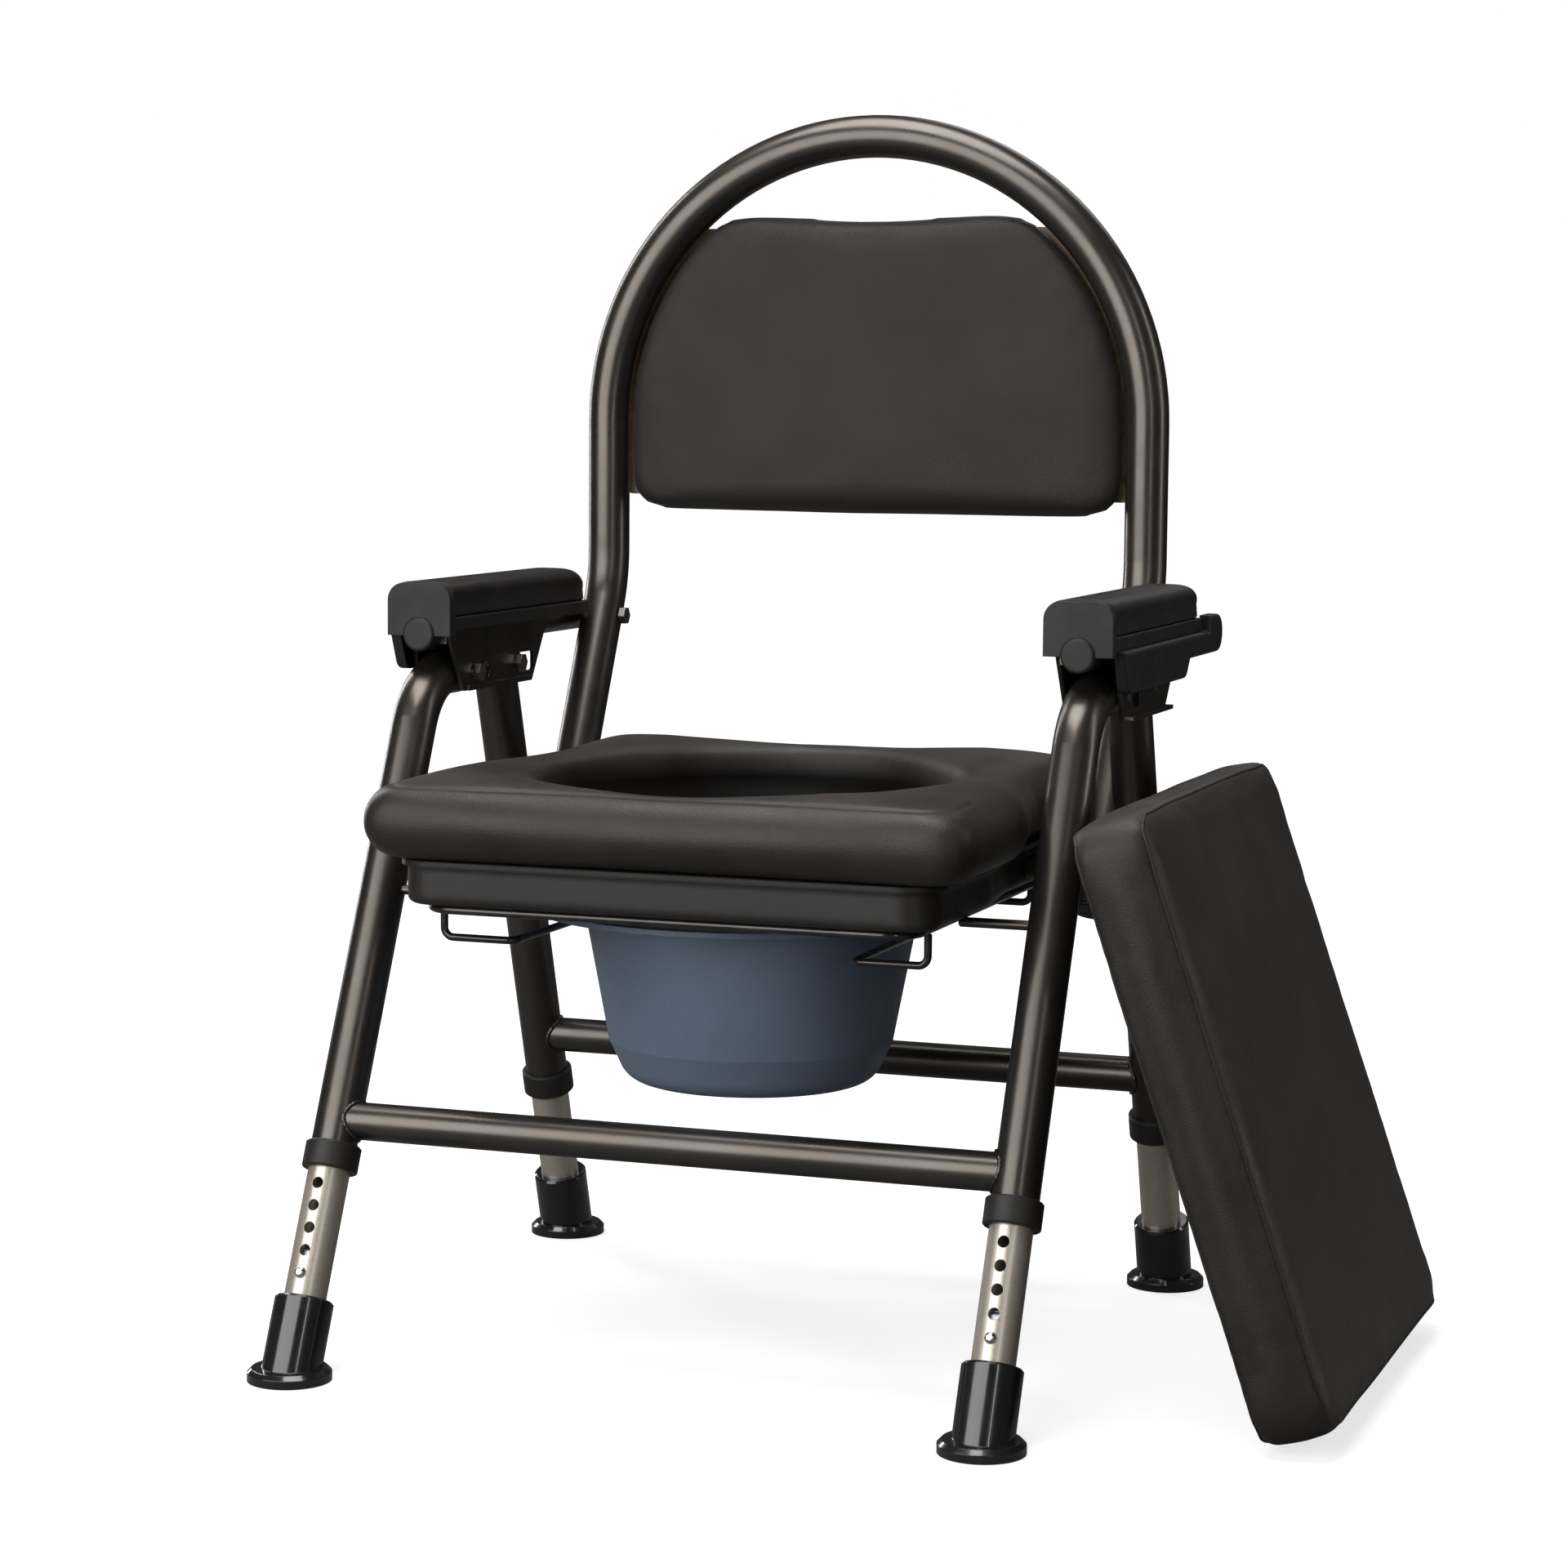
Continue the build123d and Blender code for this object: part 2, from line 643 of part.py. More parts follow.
with BuildPart() as seat_board:
    with BuildSketch(Plane.XY.offset(board_bottom)):
        make_face(board_outline(lip, 26))
    extrude(amount=board_top - board_bottom)
    fillet(faces().sort_by(Axis.Z)[0].edges(), board_skin - 1)
    with BuildSketch(Plane.XY.offset(board_top - lip)):
        make_face(board_outline(0, 30))
    extrude(amount=lip)
    fillet(faces().sort_by(Axis.Z)[-1].edges(), 1.5)
    with BuildSketch(Plane.XY.offset(board_bottom)):
        make_face(board_outline(lip + board_skin, 20))
        with Locations((0, opening_y)):
            Ellipse(opening_a + board_skin, opening_b + board_skin, mode=Mode.SUBTRACT)
    extrude(amount=board_top - board_bottom - board_skin, mode=Mode.SUBTRACT)
    with BuildSketch(Plane.XY.offset(board_bottom - 1)):
        with Locations((0, opening_y)):
            Ellipse(opening_a, opening_b)
    extrude(amount=board_top, mode=Mode.SUBTRACT)
    with BuildSketch(Plane.YZ.offset(-seat_half_w)):
        with Locations(*bracket_screws):
            Circle(screw_r)
    extrude(amount=2 * seat_half_w, mode=Mode.SUBTRACT)
save(seat_board.part, "seat_board")

cushion_crown = 421.5  # height of the cushion's top over the origin
cushion_slope = 0.026  # its top falls this much per unit towards the rear
cushion_edge = 9.0
with BuildPart() as seat_cushion:
    with BuildSketch(Plane.XY.offset(board_top + 0.2)):
        make_face(
            seat_outline(
                cushion_front_half_w, cushion_rear_half_w, cushion_front, cushion_rear, cushion_taper, corner=22
            )
        )
        with Locations((0, opening_y)):
            Ellipse(opening_a, opening_b, mode=Mode.SUBTRACT)
    extrude(amount=2 * (cushion_crown - board_top))
    top_normal = Vector(0, -cushion_slope, 1).normalized()
    split(bisect_by=Plane(origin=(0, 0, cushion_crown), x_dir=(1, 0, 0), z_dir=top_normal), keep=Keep.BOTTOM)
    chamfer(faces().sort_by(Axis.Z)[-1].edges(), cushion_edge)
save(seat_cushion.part, "seat_cushion")

hinge_x = seat_half_w + 5.0
bracket_t = 4.0
bracket_boss_r = 13.0
with BuildPart() as seat_hinge_brackets:
    with BuildSketch(Plane.YZ.offset(hinge_x)):
        with BuildLine():
            Polyline(
                (seat_pivot[0] + bracket_boss_r, seat_pivot[1]),
                (seat_pivot[0] + 8, 358),
                (60, 358),
                (60, 340),
                (110, 330),
                (seat_pivot[0] - 8, seat_pivot[1] - 10),
                close=True,
            )
        make_face()
        with Locations(seat_pivot):
            Circle(bracket_boss_r)
    extrude(amount=bracket_t)
    with BuildSketch(Plane.YZ.offset(seat_half_w - lip)):
        with Locations((90, 346)):
            RectangleRounded(50, 16, 3)
    extrude(amount=hinge_x - seat_half_w + lip)
    with BuildSketch(Plane.YZ.offset(hinge_x)):
        with Locations(seat_pivot):
            Circle(bolt_r + running)
    extrude(amount=bracket_t, mode=Mode.SUBTRACT)
    with BuildSketch(Plane.YZ.offset(seat_half_w - lip)):
        with Locations(*bracket_screws):
            Circle(screw_r)
    extrude(amount=hinge_x + bracket_t - seat_half_w + lip, mode=Mode.SUBTRACT)
    mirror(about=Plane.YZ)
save(seat_hinge_brackets.part, "seat_hinge_brackets")

# Washers between the brackets and the back tube.
washer_start, washer_end = hinge_x + bracket_t + 0.1, seat_tube_x - tube_r - 0.4
save(spacers(seat_pivot, washer_start, washer_end, outer_r=9.0).part, "seat_pivot_washers")

screw_start = seat_half_w - lip - board_skin + 0.5
screw_head_r = 4.2
with BuildPart() as seat_bracket_screws:
    with BuildSketch(Plane.YZ.offset(hinge_x + bracket_t)):
        with Locations(*bracket_screws):
            Circle(screw_head_r)
    extrude(amount=1.6)
    with BuildSketch(Plane.YZ.offset(screw_start)):
        with Locations(*bracket_screws):
            Circle(screw_r)
    extrude(amount=hinge_x + bracket_t - screw_start)
    mirror(about=Plane.YZ)
save(seat_bracket_screws.part, "seat_bracket_screws")

with BuildPart() as seat_wire_frame:
    with BuildLine(Plane.XY.offset(wire_z)) as loop:
        FilletPolyline(
            (-wire_x, wire_front),
            (wire_x, wire_front),
            (wire_x, wire_rear),
            (-wire_x, wire_rear),
            radius=24,
            close=True,
        )
    with BuildSketch(Plane(origin=loop.line @ 0, z_dir=loop.line % 0)):
        Circle(wire_r)
    sweep(path=loop.line)
save(seat_wire_frame.part, "seat_wire_frame")

rear_rod_z = rail_wire_z + 2 * rail_wire_r
rear_rod_x = wire_x - 12
rear_rod_top = wire_z - wire_r - 0.2
rail_bend = 7
with BuildPart() as pail_rails:
    with BuildLine() as rail:
        FilletPolyline(
            (wire_x, rail_wire_front, wire_z - wire_r),
            (wire_x, rail_wire_front, rail_wire_z),
            (rail_wire_x, rail_wire_front, rail_wire_z),
            (rail_wire_x, wire_rear, rail_wire_z),
            radius=rail_bend,
        )
    with BuildSketch(Plane(origin=rail.line @ 0, z_dir=rail.line % 0)):
        Circle(rail_wire_r)
    sweep(path=rail.line)
    mirror(about=Plane.YZ)
save(pail_rails.part, "pail_rails")

with BuildPart() as pail_rear_stop:
    with BuildLine(Plane.XZ.offset(-wire_rear + 4)) as rod:
        FilletPolyline(
            (-rear_rod_x, rear_rod_top),
            (-rear_rod_x, rear_rod_z),
            (rear_rod_x, rear_rod_z),
            (rear_rod_x, rear_rod_top),
            radius=rail_bend,
        )
    with BuildSketch(Plane(origin=rod.line @ 0, z_dir=rod.line % 0)):
        Circle(rail_wire_r)
    sweep(path=rod.line)
save(pail_rear_stop.part, "pail_rear_stop")

# ---------------------------------------------------------------- pail
pail_low_r = 104.0
pail_rim_h = 4.0
with BuildPart() as pail:
    with BuildSketch(Plane.XZ.offset(-opening_y)) as section:
        with BuildLine():
            Polyline(
                (0, pail_bottom),
                (pail_low_r - 14, pail_bottom),
                (pail_low_r, pail_bottom + 30),
                (pail_r - 1.5, pail_top - 16),
                (pail_r, pail_top - pail_rim_h),
                (0, pail_top - pail_rim_h),
                close=True,
            )
        make_face()
    revolve(axis=Axis((0, opening_y, 0), (0, 0, 1)))
    fillet(faces().sort_by(Axis.Z)[0].edges(), 20)
    with BuildSketch(Plane.XY.offset(pail_top - pail_rim_h)):
        with Locations((0, opening_y)):
            Circle(pail_flange_r)
    extrude(amount=pail_rim_h)
    offset(amount=-pail_wall, openings=faces().sort_by(Axis.Z)[-1], mode=Mode.REPLACE)
save(pail.part, "pail")

# ---------------------------------------------------------------- backrest
def panel_slab(edges, reach, front, thickness, screwed):
    """Backrest layer inside an arch of radius reach, between two heights; front is its front face's Y."""
    bottom, top = edges
    with BuildPart() as slab:
        with BuildSketch(Plane.XZ.offset(-front)) as outline:
            with Locations((0, arch_z)):
                Circle(reach)
            with Locations((0, (bottom + arch_z) / 2)):
                Rectangle(2 * reach, arch_z - bottom)
            with Locations((0, (bottom + top) / 2)):
                Rectangle(2 * reach, top - bottom, mode=Mode.INTERSECT)
            fillet(outline.vertices().group_by(Axis.Y)[0], 22)
            fillet(outline.vertices().group_by(Axis.Y)[-1], 25)
            if screwed:
                with Locations(*panel_screws):
                    Circle(screw_r, mode=Mode.SUBTRACT)
        extrude(amount=-thickness)
    return slab


board_front = back_y + tube_r
board_reach = back_x + board_beyond_arch
pad_reach = back_x - tube_r - 1.5
cover_front = board_front + panel_board_t + 0.1
backrest_board = panel_slab(board_panel, board_reach, board_front, panel_board_t, screwed=True)
save(backrest_board.part, "backrest_board")
backrest_rear_cover = panel_slab(board_panel, board_reach, cover_front, rear_cover_t, screwed=True)
save(backrest_rear_cover.part, "backrest_rear_cover")
pad_thickness = board_front - pad_front_face - 0.1
backrest_pad = panel_slab(pad_panel, pad_reach, pad_front_face, pad_thickness, screwed=False)
save(backrest_pad.part, "backrest_pad")

screw_back = cover_front + rear_cover_t
with BuildPart() as backrest_screws:
    with BuildSketch(Plane.XZ.offset(-screw_back)):
        with Locations(*panel_screws):
            Circle(5.5)
    extrude(amount=-2.6)
    with BuildSketch(Plane.XZ.offset(-screw_back)):
        with Locations(*panel_screws):
            Circle(screw_r)
    extrude(amount=screw_back - back_y - tube_r / 2 - 1)
save(backrest_screws.part, "backrest_screws")

# ---------------------------------------------------------------- loose cover for the opening
lean = radians(cover_lean)
cover_up = Vector(-sin(lean), 0, cos(lean))
cover_foot = (cover_foot_x, cover_y, cover_t / 2 * sin(lean) + 0.5)
with BuildPart() as opening_cover:
    with BuildSketch(Plane(origin=cover_foot, x_dir=(0, 1, 0), z_dir=cover_up)):
        RectangleRounded(cover_w, cover_t, 8)
    extrude(amount=cover_len)
save(opening_cover.part, "opening_cover")
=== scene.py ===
import json
import math

import bmesh
import bpy
from mathutils import Matrix, Vector, noise
from mathutils.bvhtree import BVHTree


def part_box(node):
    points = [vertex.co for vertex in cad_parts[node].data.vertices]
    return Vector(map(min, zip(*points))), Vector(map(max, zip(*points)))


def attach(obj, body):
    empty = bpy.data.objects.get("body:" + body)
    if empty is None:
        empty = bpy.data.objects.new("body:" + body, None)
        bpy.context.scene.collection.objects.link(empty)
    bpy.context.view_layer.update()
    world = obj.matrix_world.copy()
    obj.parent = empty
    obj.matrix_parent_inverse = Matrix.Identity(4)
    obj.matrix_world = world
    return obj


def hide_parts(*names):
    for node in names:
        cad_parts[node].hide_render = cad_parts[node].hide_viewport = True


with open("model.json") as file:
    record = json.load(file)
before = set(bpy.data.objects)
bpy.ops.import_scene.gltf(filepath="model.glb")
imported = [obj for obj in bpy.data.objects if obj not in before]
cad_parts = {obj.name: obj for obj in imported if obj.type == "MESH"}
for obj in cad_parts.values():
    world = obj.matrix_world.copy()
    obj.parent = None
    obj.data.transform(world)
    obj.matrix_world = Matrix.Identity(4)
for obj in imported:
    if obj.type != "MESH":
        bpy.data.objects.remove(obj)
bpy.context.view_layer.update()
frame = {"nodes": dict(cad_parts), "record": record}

NODES = frame["nodes"]
JOINTS = {joint["name"]: joint for joint in frame["record"]["behaviour"]["joints"]}


def leg_lean(corner):
    """Angle of a leg from vertical, from the axis of its height adjustment."""
    axis = JOINTS[f"{corner}_leg_height"]["axis"]
    return math.atan2(abs(axis[1]), abs(axis[2]))


FRONT_LEAN = leg_lean("front_left")
REAR_LEAN = leg_lean("rear_left")


# ---------------------------------------------------------------- material helpers
class Surface:
    """A node-based material: the Principled shader, object coordinates and ways to combine noises."""

    def __init__(self, name, colour, roughness, metallic=0.0, **inputs):
        self.mat = bpy.data.materials.new(name)
        self.mat.use_nodes = True
        self.tree = self.mat.node_tree
        self.shader = self.tree.nodes["Principled BSDF"]
        self.shader.inputs["Base Color"].default_value = (*colour, 1)
        self.shader.inputs["Roughness"].default_value = roughness
        self.shader.inputs["Metallic"].default_value = metallic
        for key, value in inputs.items():
            self.shader.inputs[key.replace("_", " ").title().replace("Ior", "IOR")].default_value = value
        self.place = self.tree.nodes.new("ShaderNodeTexCoord").outputs["Object"]
        self.normal = None

    def node(self, kind, links=None, **settings):
        made = self.tree.nodes.new(kind)
        for key, value in settings.items():
            setattr(made, key, value)
        for key, value in (links or {}).items():
            if isinstance(value, bpy.types.NodeSocket):
                self.tree.links.new(value, made.inputs[key])
            else:
                made.inputs[key].default_value = value
        return made

    def stretched(self, scale):
        return self.node("ShaderNodeMapping", {"Vector": self.place, "Scale": scale}).outputs["Vector"]

    def noise(self, scale, detail=3.0, roughness=0.5, place=None):
        links = {"Vector": place or self.place, "Scale": scale, "Detail": detail, "Roughness": roughness}
        return self.node("ShaderNodeTexNoise", links).outputs["Fac"]

    def cells(self, scale, feature="F1", place=None):
        links = {"Vector": place or self.place, "Scale": scale}
        return self.node("ShaderNodeTexVoronoi", links, feature=feature).outputs["Distance"]

    def math(self, operation, a, b=0.0):
        return self.node("ShaderNodeMath", {0: a, 1: b}, operation=operation).outputs[0]

    def ramp(self, value, low, high, to_low=0.0, to_high=1.0):
        links = {"Value": value, "From Min": low, "From Max": high, "To Min": to_low, "To Max": to_high}
        return self.node("ShaderNodeMapRange", links, clamp=True).outputs["Result"]

    def blend_colour(self, factor, first, second):
        mix = self.node("ShaderNodeMix", {0: factor}, data_type="RGBA")
        for socket, colour in ((mix.inputs[6], first), (mix.inputs[7], second)):
            if isinstance(colour, bpy.types.NodeSocket):
                self.tree.links.new(colour, socket)
            else:
                socket.default_value = (*colour, 1)
        return mix.outputs[2]

    def colour(self, socket):
        self.tree.links.new(socket, self.shader.inputs["Base Color"])

    def roughness(self, socket):
        self.tree.links.new(socket, self.shader.inputs["Roughness"])

    def rounded_edges(self, radius):
        """Softens hard edges so that they catch a line of light, as moulded and painted edges do."""
        self.normal = self.node("ShaderNodeBevel", {"Radius": radius}, samples=4).outputs["Normal"]
        self.tree.links.new(self.normal, self.shader.inputs["Normal"])

    def edge_mask(self, radius):
        """1 on edges and 0 on open faces."""
        bevel = self.node("ShaderNodeBevel", {"Radius": radius}, samples=4).outputs["Normal"]
        true = self.node("ShaderNodeNewGeometry").outputs["Normal"]
        dot = self.node("ShaderNodeVectorMath", {0: bevel, 1: true}, operation="DOT_PRODUCT")
        return self.ramp(dot.outputs["Value"], 0.98, 0.80)

    def bump(self, height, distance, strength=1.0):
        links = {"Height": height, "Distance": distance, "Strength": strength}
        if self.normal is not None:
            links["Normal"] = self.normal
        self.normal = self.node("ShaderNodeBump", links).outputs["Normal"]
        self.tree.links.new(self.normal, self.shader.inputs["Normal"])


def frame_paint():
    """Semi-gloss dark bronze paint: fine metal flake, slight orange peel and worn edges."""
    s = Surface("frame_paint", (0.10, 0.09, 0.08), 0.28, 0.9)
    cloud = s.noise(9.0, 4.0)
    flakes = s.noise(2600.0, 1.0)
    base = s.blend_colour(s.ramp(cloud, 0.3, 0.7), (0.095, 0.086, 0.077), (0.115, 0.104, 0.093))
    base = s.blend_colour(s.ramp(flakes, 0.62, 0.72, 0.0, 0.2), base, (0.22, 0.20, 0.18))
    worn = s.math("MULTIPLY", s.edge_mask(0.0012), s.ramp(s.noise(60.0, 4.0), 0.45, 0.75))
    s.colour(s.blend_colour(s.math("MULTIPLY", worn, 0.35), base, (0.26, 0.235, 0.21)))
    rough = s.ramp(s.noise(35.0, 5.0, 0.6), 0.3, 0.75, 0.24, 0.33)
    s.roughness(s.math("ADD", rough, s.math("MULTIPLY", flakes, 0.04)))
    s.rounded_edges(0.0009)
    s.bump(s.noise(420.0, 2.0), 0.00004, 0.5)
    return s.mat


def extension_metal(lean):
    """Champagne anodised tube; lean turns its drawing marks onto the leg's axis."""
    s = Surface("extension_metal", (0.62, 0.56, 0.47), 0.36, 0.7)
    along_leg = {"Vector": s.place, "Rotation": (lean, 0, 0), "Scale": (1400, 1400, 9)}
    turned = s.node("ShaderNodeMapping", along_leg)
    drawn = s.noise(1.0, 2.0, place=turned.outputs["Vector"])
    base = s.blend_colour(s.ramp(drawn, 0.3, 0.7), (0.56, 0.505, 0.430), (0.66, 0.600, 0.515))
    worn = s.ramp(s.noise(90.0, 5.0, 0.65), 0.66, 0.76)
    s.colour(s.blend_colour(s.math("MULTIPLY", worn, 0.2), base, (0.74, 0.70, 0.63)))
    s.roughness(s.ramp(drawn, 0.3, 0.7, 0.30, 0.40))
    s.rounded_edges(0.0006)
    s.bump(drawn, 0.00002, 0.4)
    return s.mat


def gloss_black():
    """Glossy moulded rubber of the feet, with a few scuffs."""
    shine = {"specular_ior_level": 0.6, "coat_weight": 0.6, "coat_roughness": 0.06}
    s = Surface("foot_moulding", (0.012, 0.012, 0.013), 0.16, 0.0, **shine)
    scuff = s.math("MULTIPLY", s.ramp(s.noise(90.0, 6.0, 0.7), 0.60, 0.72), 0.35)
    s.colour(s.blend_colour(scuff, (0.010, 0.010, 0.011), (0.05, 0.048, 0.046)))
    s.roughness(s.ramp(s.noise(26.0, 4.0), 0.3, 0.75, 0.12, 0.28))
    s.rounded_edges(0.0012)
    s.bump(s.noise(240.0, 2.0), 0.00005, 0.4)
    return s.mat


def matte_plastic(name, dark, light, low=0.42, high=0.58, edge_radius=0.0012):
    """Moulded plastic with a fine spark-eroded texture, edges painted lighter as a highlight, and cloudy
    colour.
    """
    s = Surface(name, dark, 0.5, 0.0, specular_ior_level=0.4)
    cloud = s.ramp(s.noise(14.0, 4.0), 0.3, 0.7)
    base = s.blend_colour(cloud, dark, light)
    # painted highlight: edges lightened in colour, unevenly, to stand for the bright lines of light on
    # rims
    edge = s.math("MULTIPLY", s.edge_mask(0.0014), s.ramp(s.noise(80.0, 4.0), 0.35, 0.7, 0.2, 0.7))
    s.colour(s.blend_colour(edge, base, tuple(min(1.0, 2.6 * c + 0.01) for c in light)))
    s.roughness(s.ramp(s.noise(40.0, 4.0, 0.6), 0.3, 0.7, low, high))
    s.rounded_edges(edge_radius)
    s.bump(s.noise(1900.0, 2.0, 0.6), 0.00008, 0.5)
    return s.mat


SHEEN_TINT = (1.0, 0.90, 0.80, 1)
LEATHER_SPECULAR = 0.40
# Painted shade: near-black colour and little reflection on the wall of the seat's opening, standing in
# for the shade down inside it
WELL_SHADE_COLOUR, WELL_SHADE_SPECULAR = (0.0015, 0.0012, 0.0010), 0.04
WELL_SHADE_FADE = (0.003, 0.022)  # depths below the lip where the painted shade starts and is full


def leatherette(name="leatherette", well=None):
    """Coated fabric: pebbled grain, broad creases, a soft sheen; well paints shade onto the wall of an
    opening as a darker colour and weaker reflection.
    """
    dark, light = (0.0160, 0.0132, 0.0108), (0.0230, 0.0192, 0.0158)
    soft = {"sheen_weight": 0.03, "sheen_tint": SHEEN_TINT, "specular_ior_level": LEATHER_SPECULAR}
    s = Surface(name, dark, 0.42, 0.0, **soft)
    grain = s.cells(950.0, "SMOOTH_F1")
    pores = s.noise(2100.0, 2.0)
    folds = s.noise(16.0, 5.0, 0.55)
    base = s.blend_colour(s.ramp(folds, 0.3, 0.7), dark, light)
    if well is not None:
        centre, half_x, half_y, top = well
        axes = s.node("ShaderNodeSeparateXYZ", {"Vector": s.place}).outputs
        across = s.math("DIVIDE", s.math("SUBTRACT", axes["X"], centre.x), half_x)
        along = s.math("DIVIDE", s.math("SUBTRACT", axes["Y"], centre.y), half_y)
        reach = s.math("ADD", s.math("MULTIPLY", across, across), s.math("MULTIPLY", along, along))
        depth = s.ramp(axes["Z"], top - WELL_SHADE_FADE[0], top - WELL_SHADE_FADE[1])
        # painted shade: darker colour and weaker reflection inside the oval and below the lip
        painted_well_shade = s.math("MULTIPLY", s.ramp(reach, 1.10, 0.98), depth)
        base = s.blend_colour(painted_well_shade, base, WELL_SHADE_COLOUR)
        shine = s.ramp(painted_well_shade, 0.0, 1.0, LEATHER_SPECULAR, WELL_SHADE_SPECULAR)
        s.tree.links.new(shine, s.shader.inputs["Specular IOR Level"])
    s.colour(base)
    s.roughness(s.math("ADD", s.ramp(folds, 0.3, 0.7, 0.36, 0.50), s.math("MULTIPLY", grain, 0.12)))
    s.bump(folds, 0.0012, 0.25)
    s.bump(s.math("ADD", grain, s.math("MULTIPLY", pores, 0.35)), 0.00022, 0.55)
    return s.mat


DIAMOND_PITCH = 0.0042


def embossed_leatherette():
    """Backrest cover: the same coated fabric with small diamonds pressed into it, their grooves painted
    darker as shade.
    """
    soft = {"sheen_weight": 0.04, "sheen_tint": SHEEN_TINT, "specular_ior_level": 0.32}
    s = Surface("leatherette_embossed", (0.016, 0.0142, 0.0132), 0.5, 0.0, **soft)
    axes = s.node("ShaderNodeSeparateXYZ", {"Vector": s.place}).outputs
    pitch = 2 * math.pi / DIAMOND_PITCH
    rising = s.math("SINE", s.math("MULTIPLY", s.math("ADD", axes["X"], axes["Z"]), pitch))
    falling = s.math("SINE", s.math("MULTIPLY", s.math("SUBTRACT", axes["X"], axes["Z"]), pitch))
    diamonds = s.math("MULTIPLY", s.math("ABSOLUTE", rising), s.math("ABSOLUTE", falling))
    cloud = s.ramp(s.noise(10.0, 4.0), 0.3, 0.7)
    base = s.blend_colour(cloud, (0.0185, 0.0155, 0.0130), (0.0245, 0.0207, 0.0175))
    # painted shade: the low grooves between the diamonds are darkened in colour
    s.colour(s.blend_colour(s.ramp(diamonds, 0.0, 0.5, 0.35, 0.0), base, (0.009, 0.008, 0.0075)))
    s.roughness(s.ramp(s.noise(18.0, 4.0), 0.3, 0.7, 0.42, 0.54))
    s.bump(s.noise(1700.0, 2.0), 0.0001, 0.3)
    s.bump(diamonds, 0.00025, 0.6)
    return s.mat


def bright_metal(name, colour, low, high, grain):
    """Bare or plated steel with fine spots; low and high bound the roughness."""
    s = Surface(name, colour, low, 1.0)
    spots = s.noise(grain, 4.0, 0.6)
    s.colour(s.blend_colour(s.ramp(spots, 0.35, 0.75), colour, tuple(0.72 * c for c in colour)))
    s.roughness(s.ramp(spots, 0.3, 0.75, low, high))
    s.rounded_edges(0.0005)
    s.bump(s.noise(grain * 6, 2.0), 0.00002, 0.4)
    return s.mat


def wire_coating():
    """Dark coated wire of the seat frame and pail rails."""
    s = Surface("wire_steel", (0.03, 0.027, 0.025), 0.25, 0.6, coat_weight=0.5, coat_roughness=0.1)
    cloud = s.ramp(s.noise(50.0, 4.0), 0.3, 0.7)
    s.colour(s.blend_colour(cloud, (0.022, 0.02, 0.018), (0.045, 0.04, 0.036)))
    s.roughness(s.ramp(s.noise(120.0, 3.0), 0.3, 0.7, 0.18, 0.32))
    s.bump(s.noise(900.0, 2.0), 0.00003, 0.5)
    return s.mat


def pail_plastic():
    """Blue-grey moulded plastic with faint specks."""
    s = Surface("pail_plastic", (0.11, 0.15, 0.21), 0.45, 0.0)
    cloud = s.ramp(s.noise(11.0, 4.0), 0.3, 0.7)
    base = s.blend_colour(cloud, (0.108, 0.143, 0.200), (0.128, 0.168, 0.232))
    specks = s.ramp(s.noise(650.0, 3.0), 0.35, 0.7)
    s.colour(s.blend_colour(s.math("MULTIPLY", specks, 0.25), base, (0.17, 0.21, 0.28)))
    s.roughness(s.ramp(s.noise(60.0, 4.0), 0.3, 0.7, 0.40, 0.52))
    s.rounded_edges(0.001)
    s.bump(s.noise(1300.0, 3.0, 0.6), 0.00012, 0.5)
    return s.mat


def plywood():
    """Backrest board: veneer with a lengthwise grain."""
    s = Surface("board_wood", (0.50, 0.36, 0.23), 0.6, 0.0)
    rings = s.noise(1.0, 4.0, 0.6, s.stretched((14, 260, 160)))
    s.colour(s.blend_colour(s.ramp(rings, 0.3, 0.7), (0.42, 0.29, 0.17), (0.62, 0.47, 0.31)))
    s.roughness(s.ramp(rings, 0.3, 0.7, 0.5, 0.7))
    s.bump(rings, 0.0002, 0.5)
    return s.mat


# ---------------------------------------------------------------- assign finishes to the CAD nodes
BOARD_EDGE = 0.007  # the moulded seat board has rounder edges than the other plastic


def finish_nodes():
    """Makes one material for each slot of the record and puts it on the CAD nodes of that slot."""
    slots = {p["node"]: p["material_slot"] for p in frame["record"]["subparts"]}
    made = {
        "frame_paint": frame_paint(),
        "foot_moulding": gloss_black(),
        "black_plastic": matte_plastic("black_plastic", (0.013, 0.0118, 0.011), (0.019, 0.0172, 0.016)),
        "armrest_foam": matte_plastic(
            "armrest_foam", (0.014, 0.0125, 0.0117), (0.021, 0.0188, 0.0175), 0.38, 0.52
        ),
        "leatherette": leatherette(),
        "board_wood": plywood(),
        "bolt_steel": bright_metal("bolt_steel", (0.42, 0.40, 0.37), 0.25, 0.42, 220.0),
        "button_chrome": bright_metal("button_chrome", (0.85, 0.84, 0.82), 0.04, 0.12, 160.0),
        "spring_steel": bright_metal("spring_steel", (0.40, 0.41, 0.43), 0.25, 0.4, 300.0),
        "bush_plastic": matte_plastic("bush_plastic", (0.62, 0.60, 0.55), (0.70, 0.68, 0.63)),
        "wire_steel": wire_coating(),
        "pail_plastic": pail_plastic(),
    }
    made["extension_metal"] = extension_metal(FRONT_LEAN)
    rear = [name for name in NODES if name.startswith("leg_extension_rear")]
    special = {name: extension_metal(-REAR_LEAN) for name in rear}
    dark, light = (0.016, 0.0145, 0.0135), (0.022, 0.0200, 0.0186)
    special["seat_board"] = matte_plastic("board_plastic", dark, light, 0.30, 0.42, BOARD_EDGE)
    for name, obj in NODES.items():
        mat = special.get(name, made[slots[name]])
        obj.data.materials.clear()
        obj.data.materials.append(mat)
        shade(obj)
    return made


SHARP_ANGLE = math.radians(35.0)


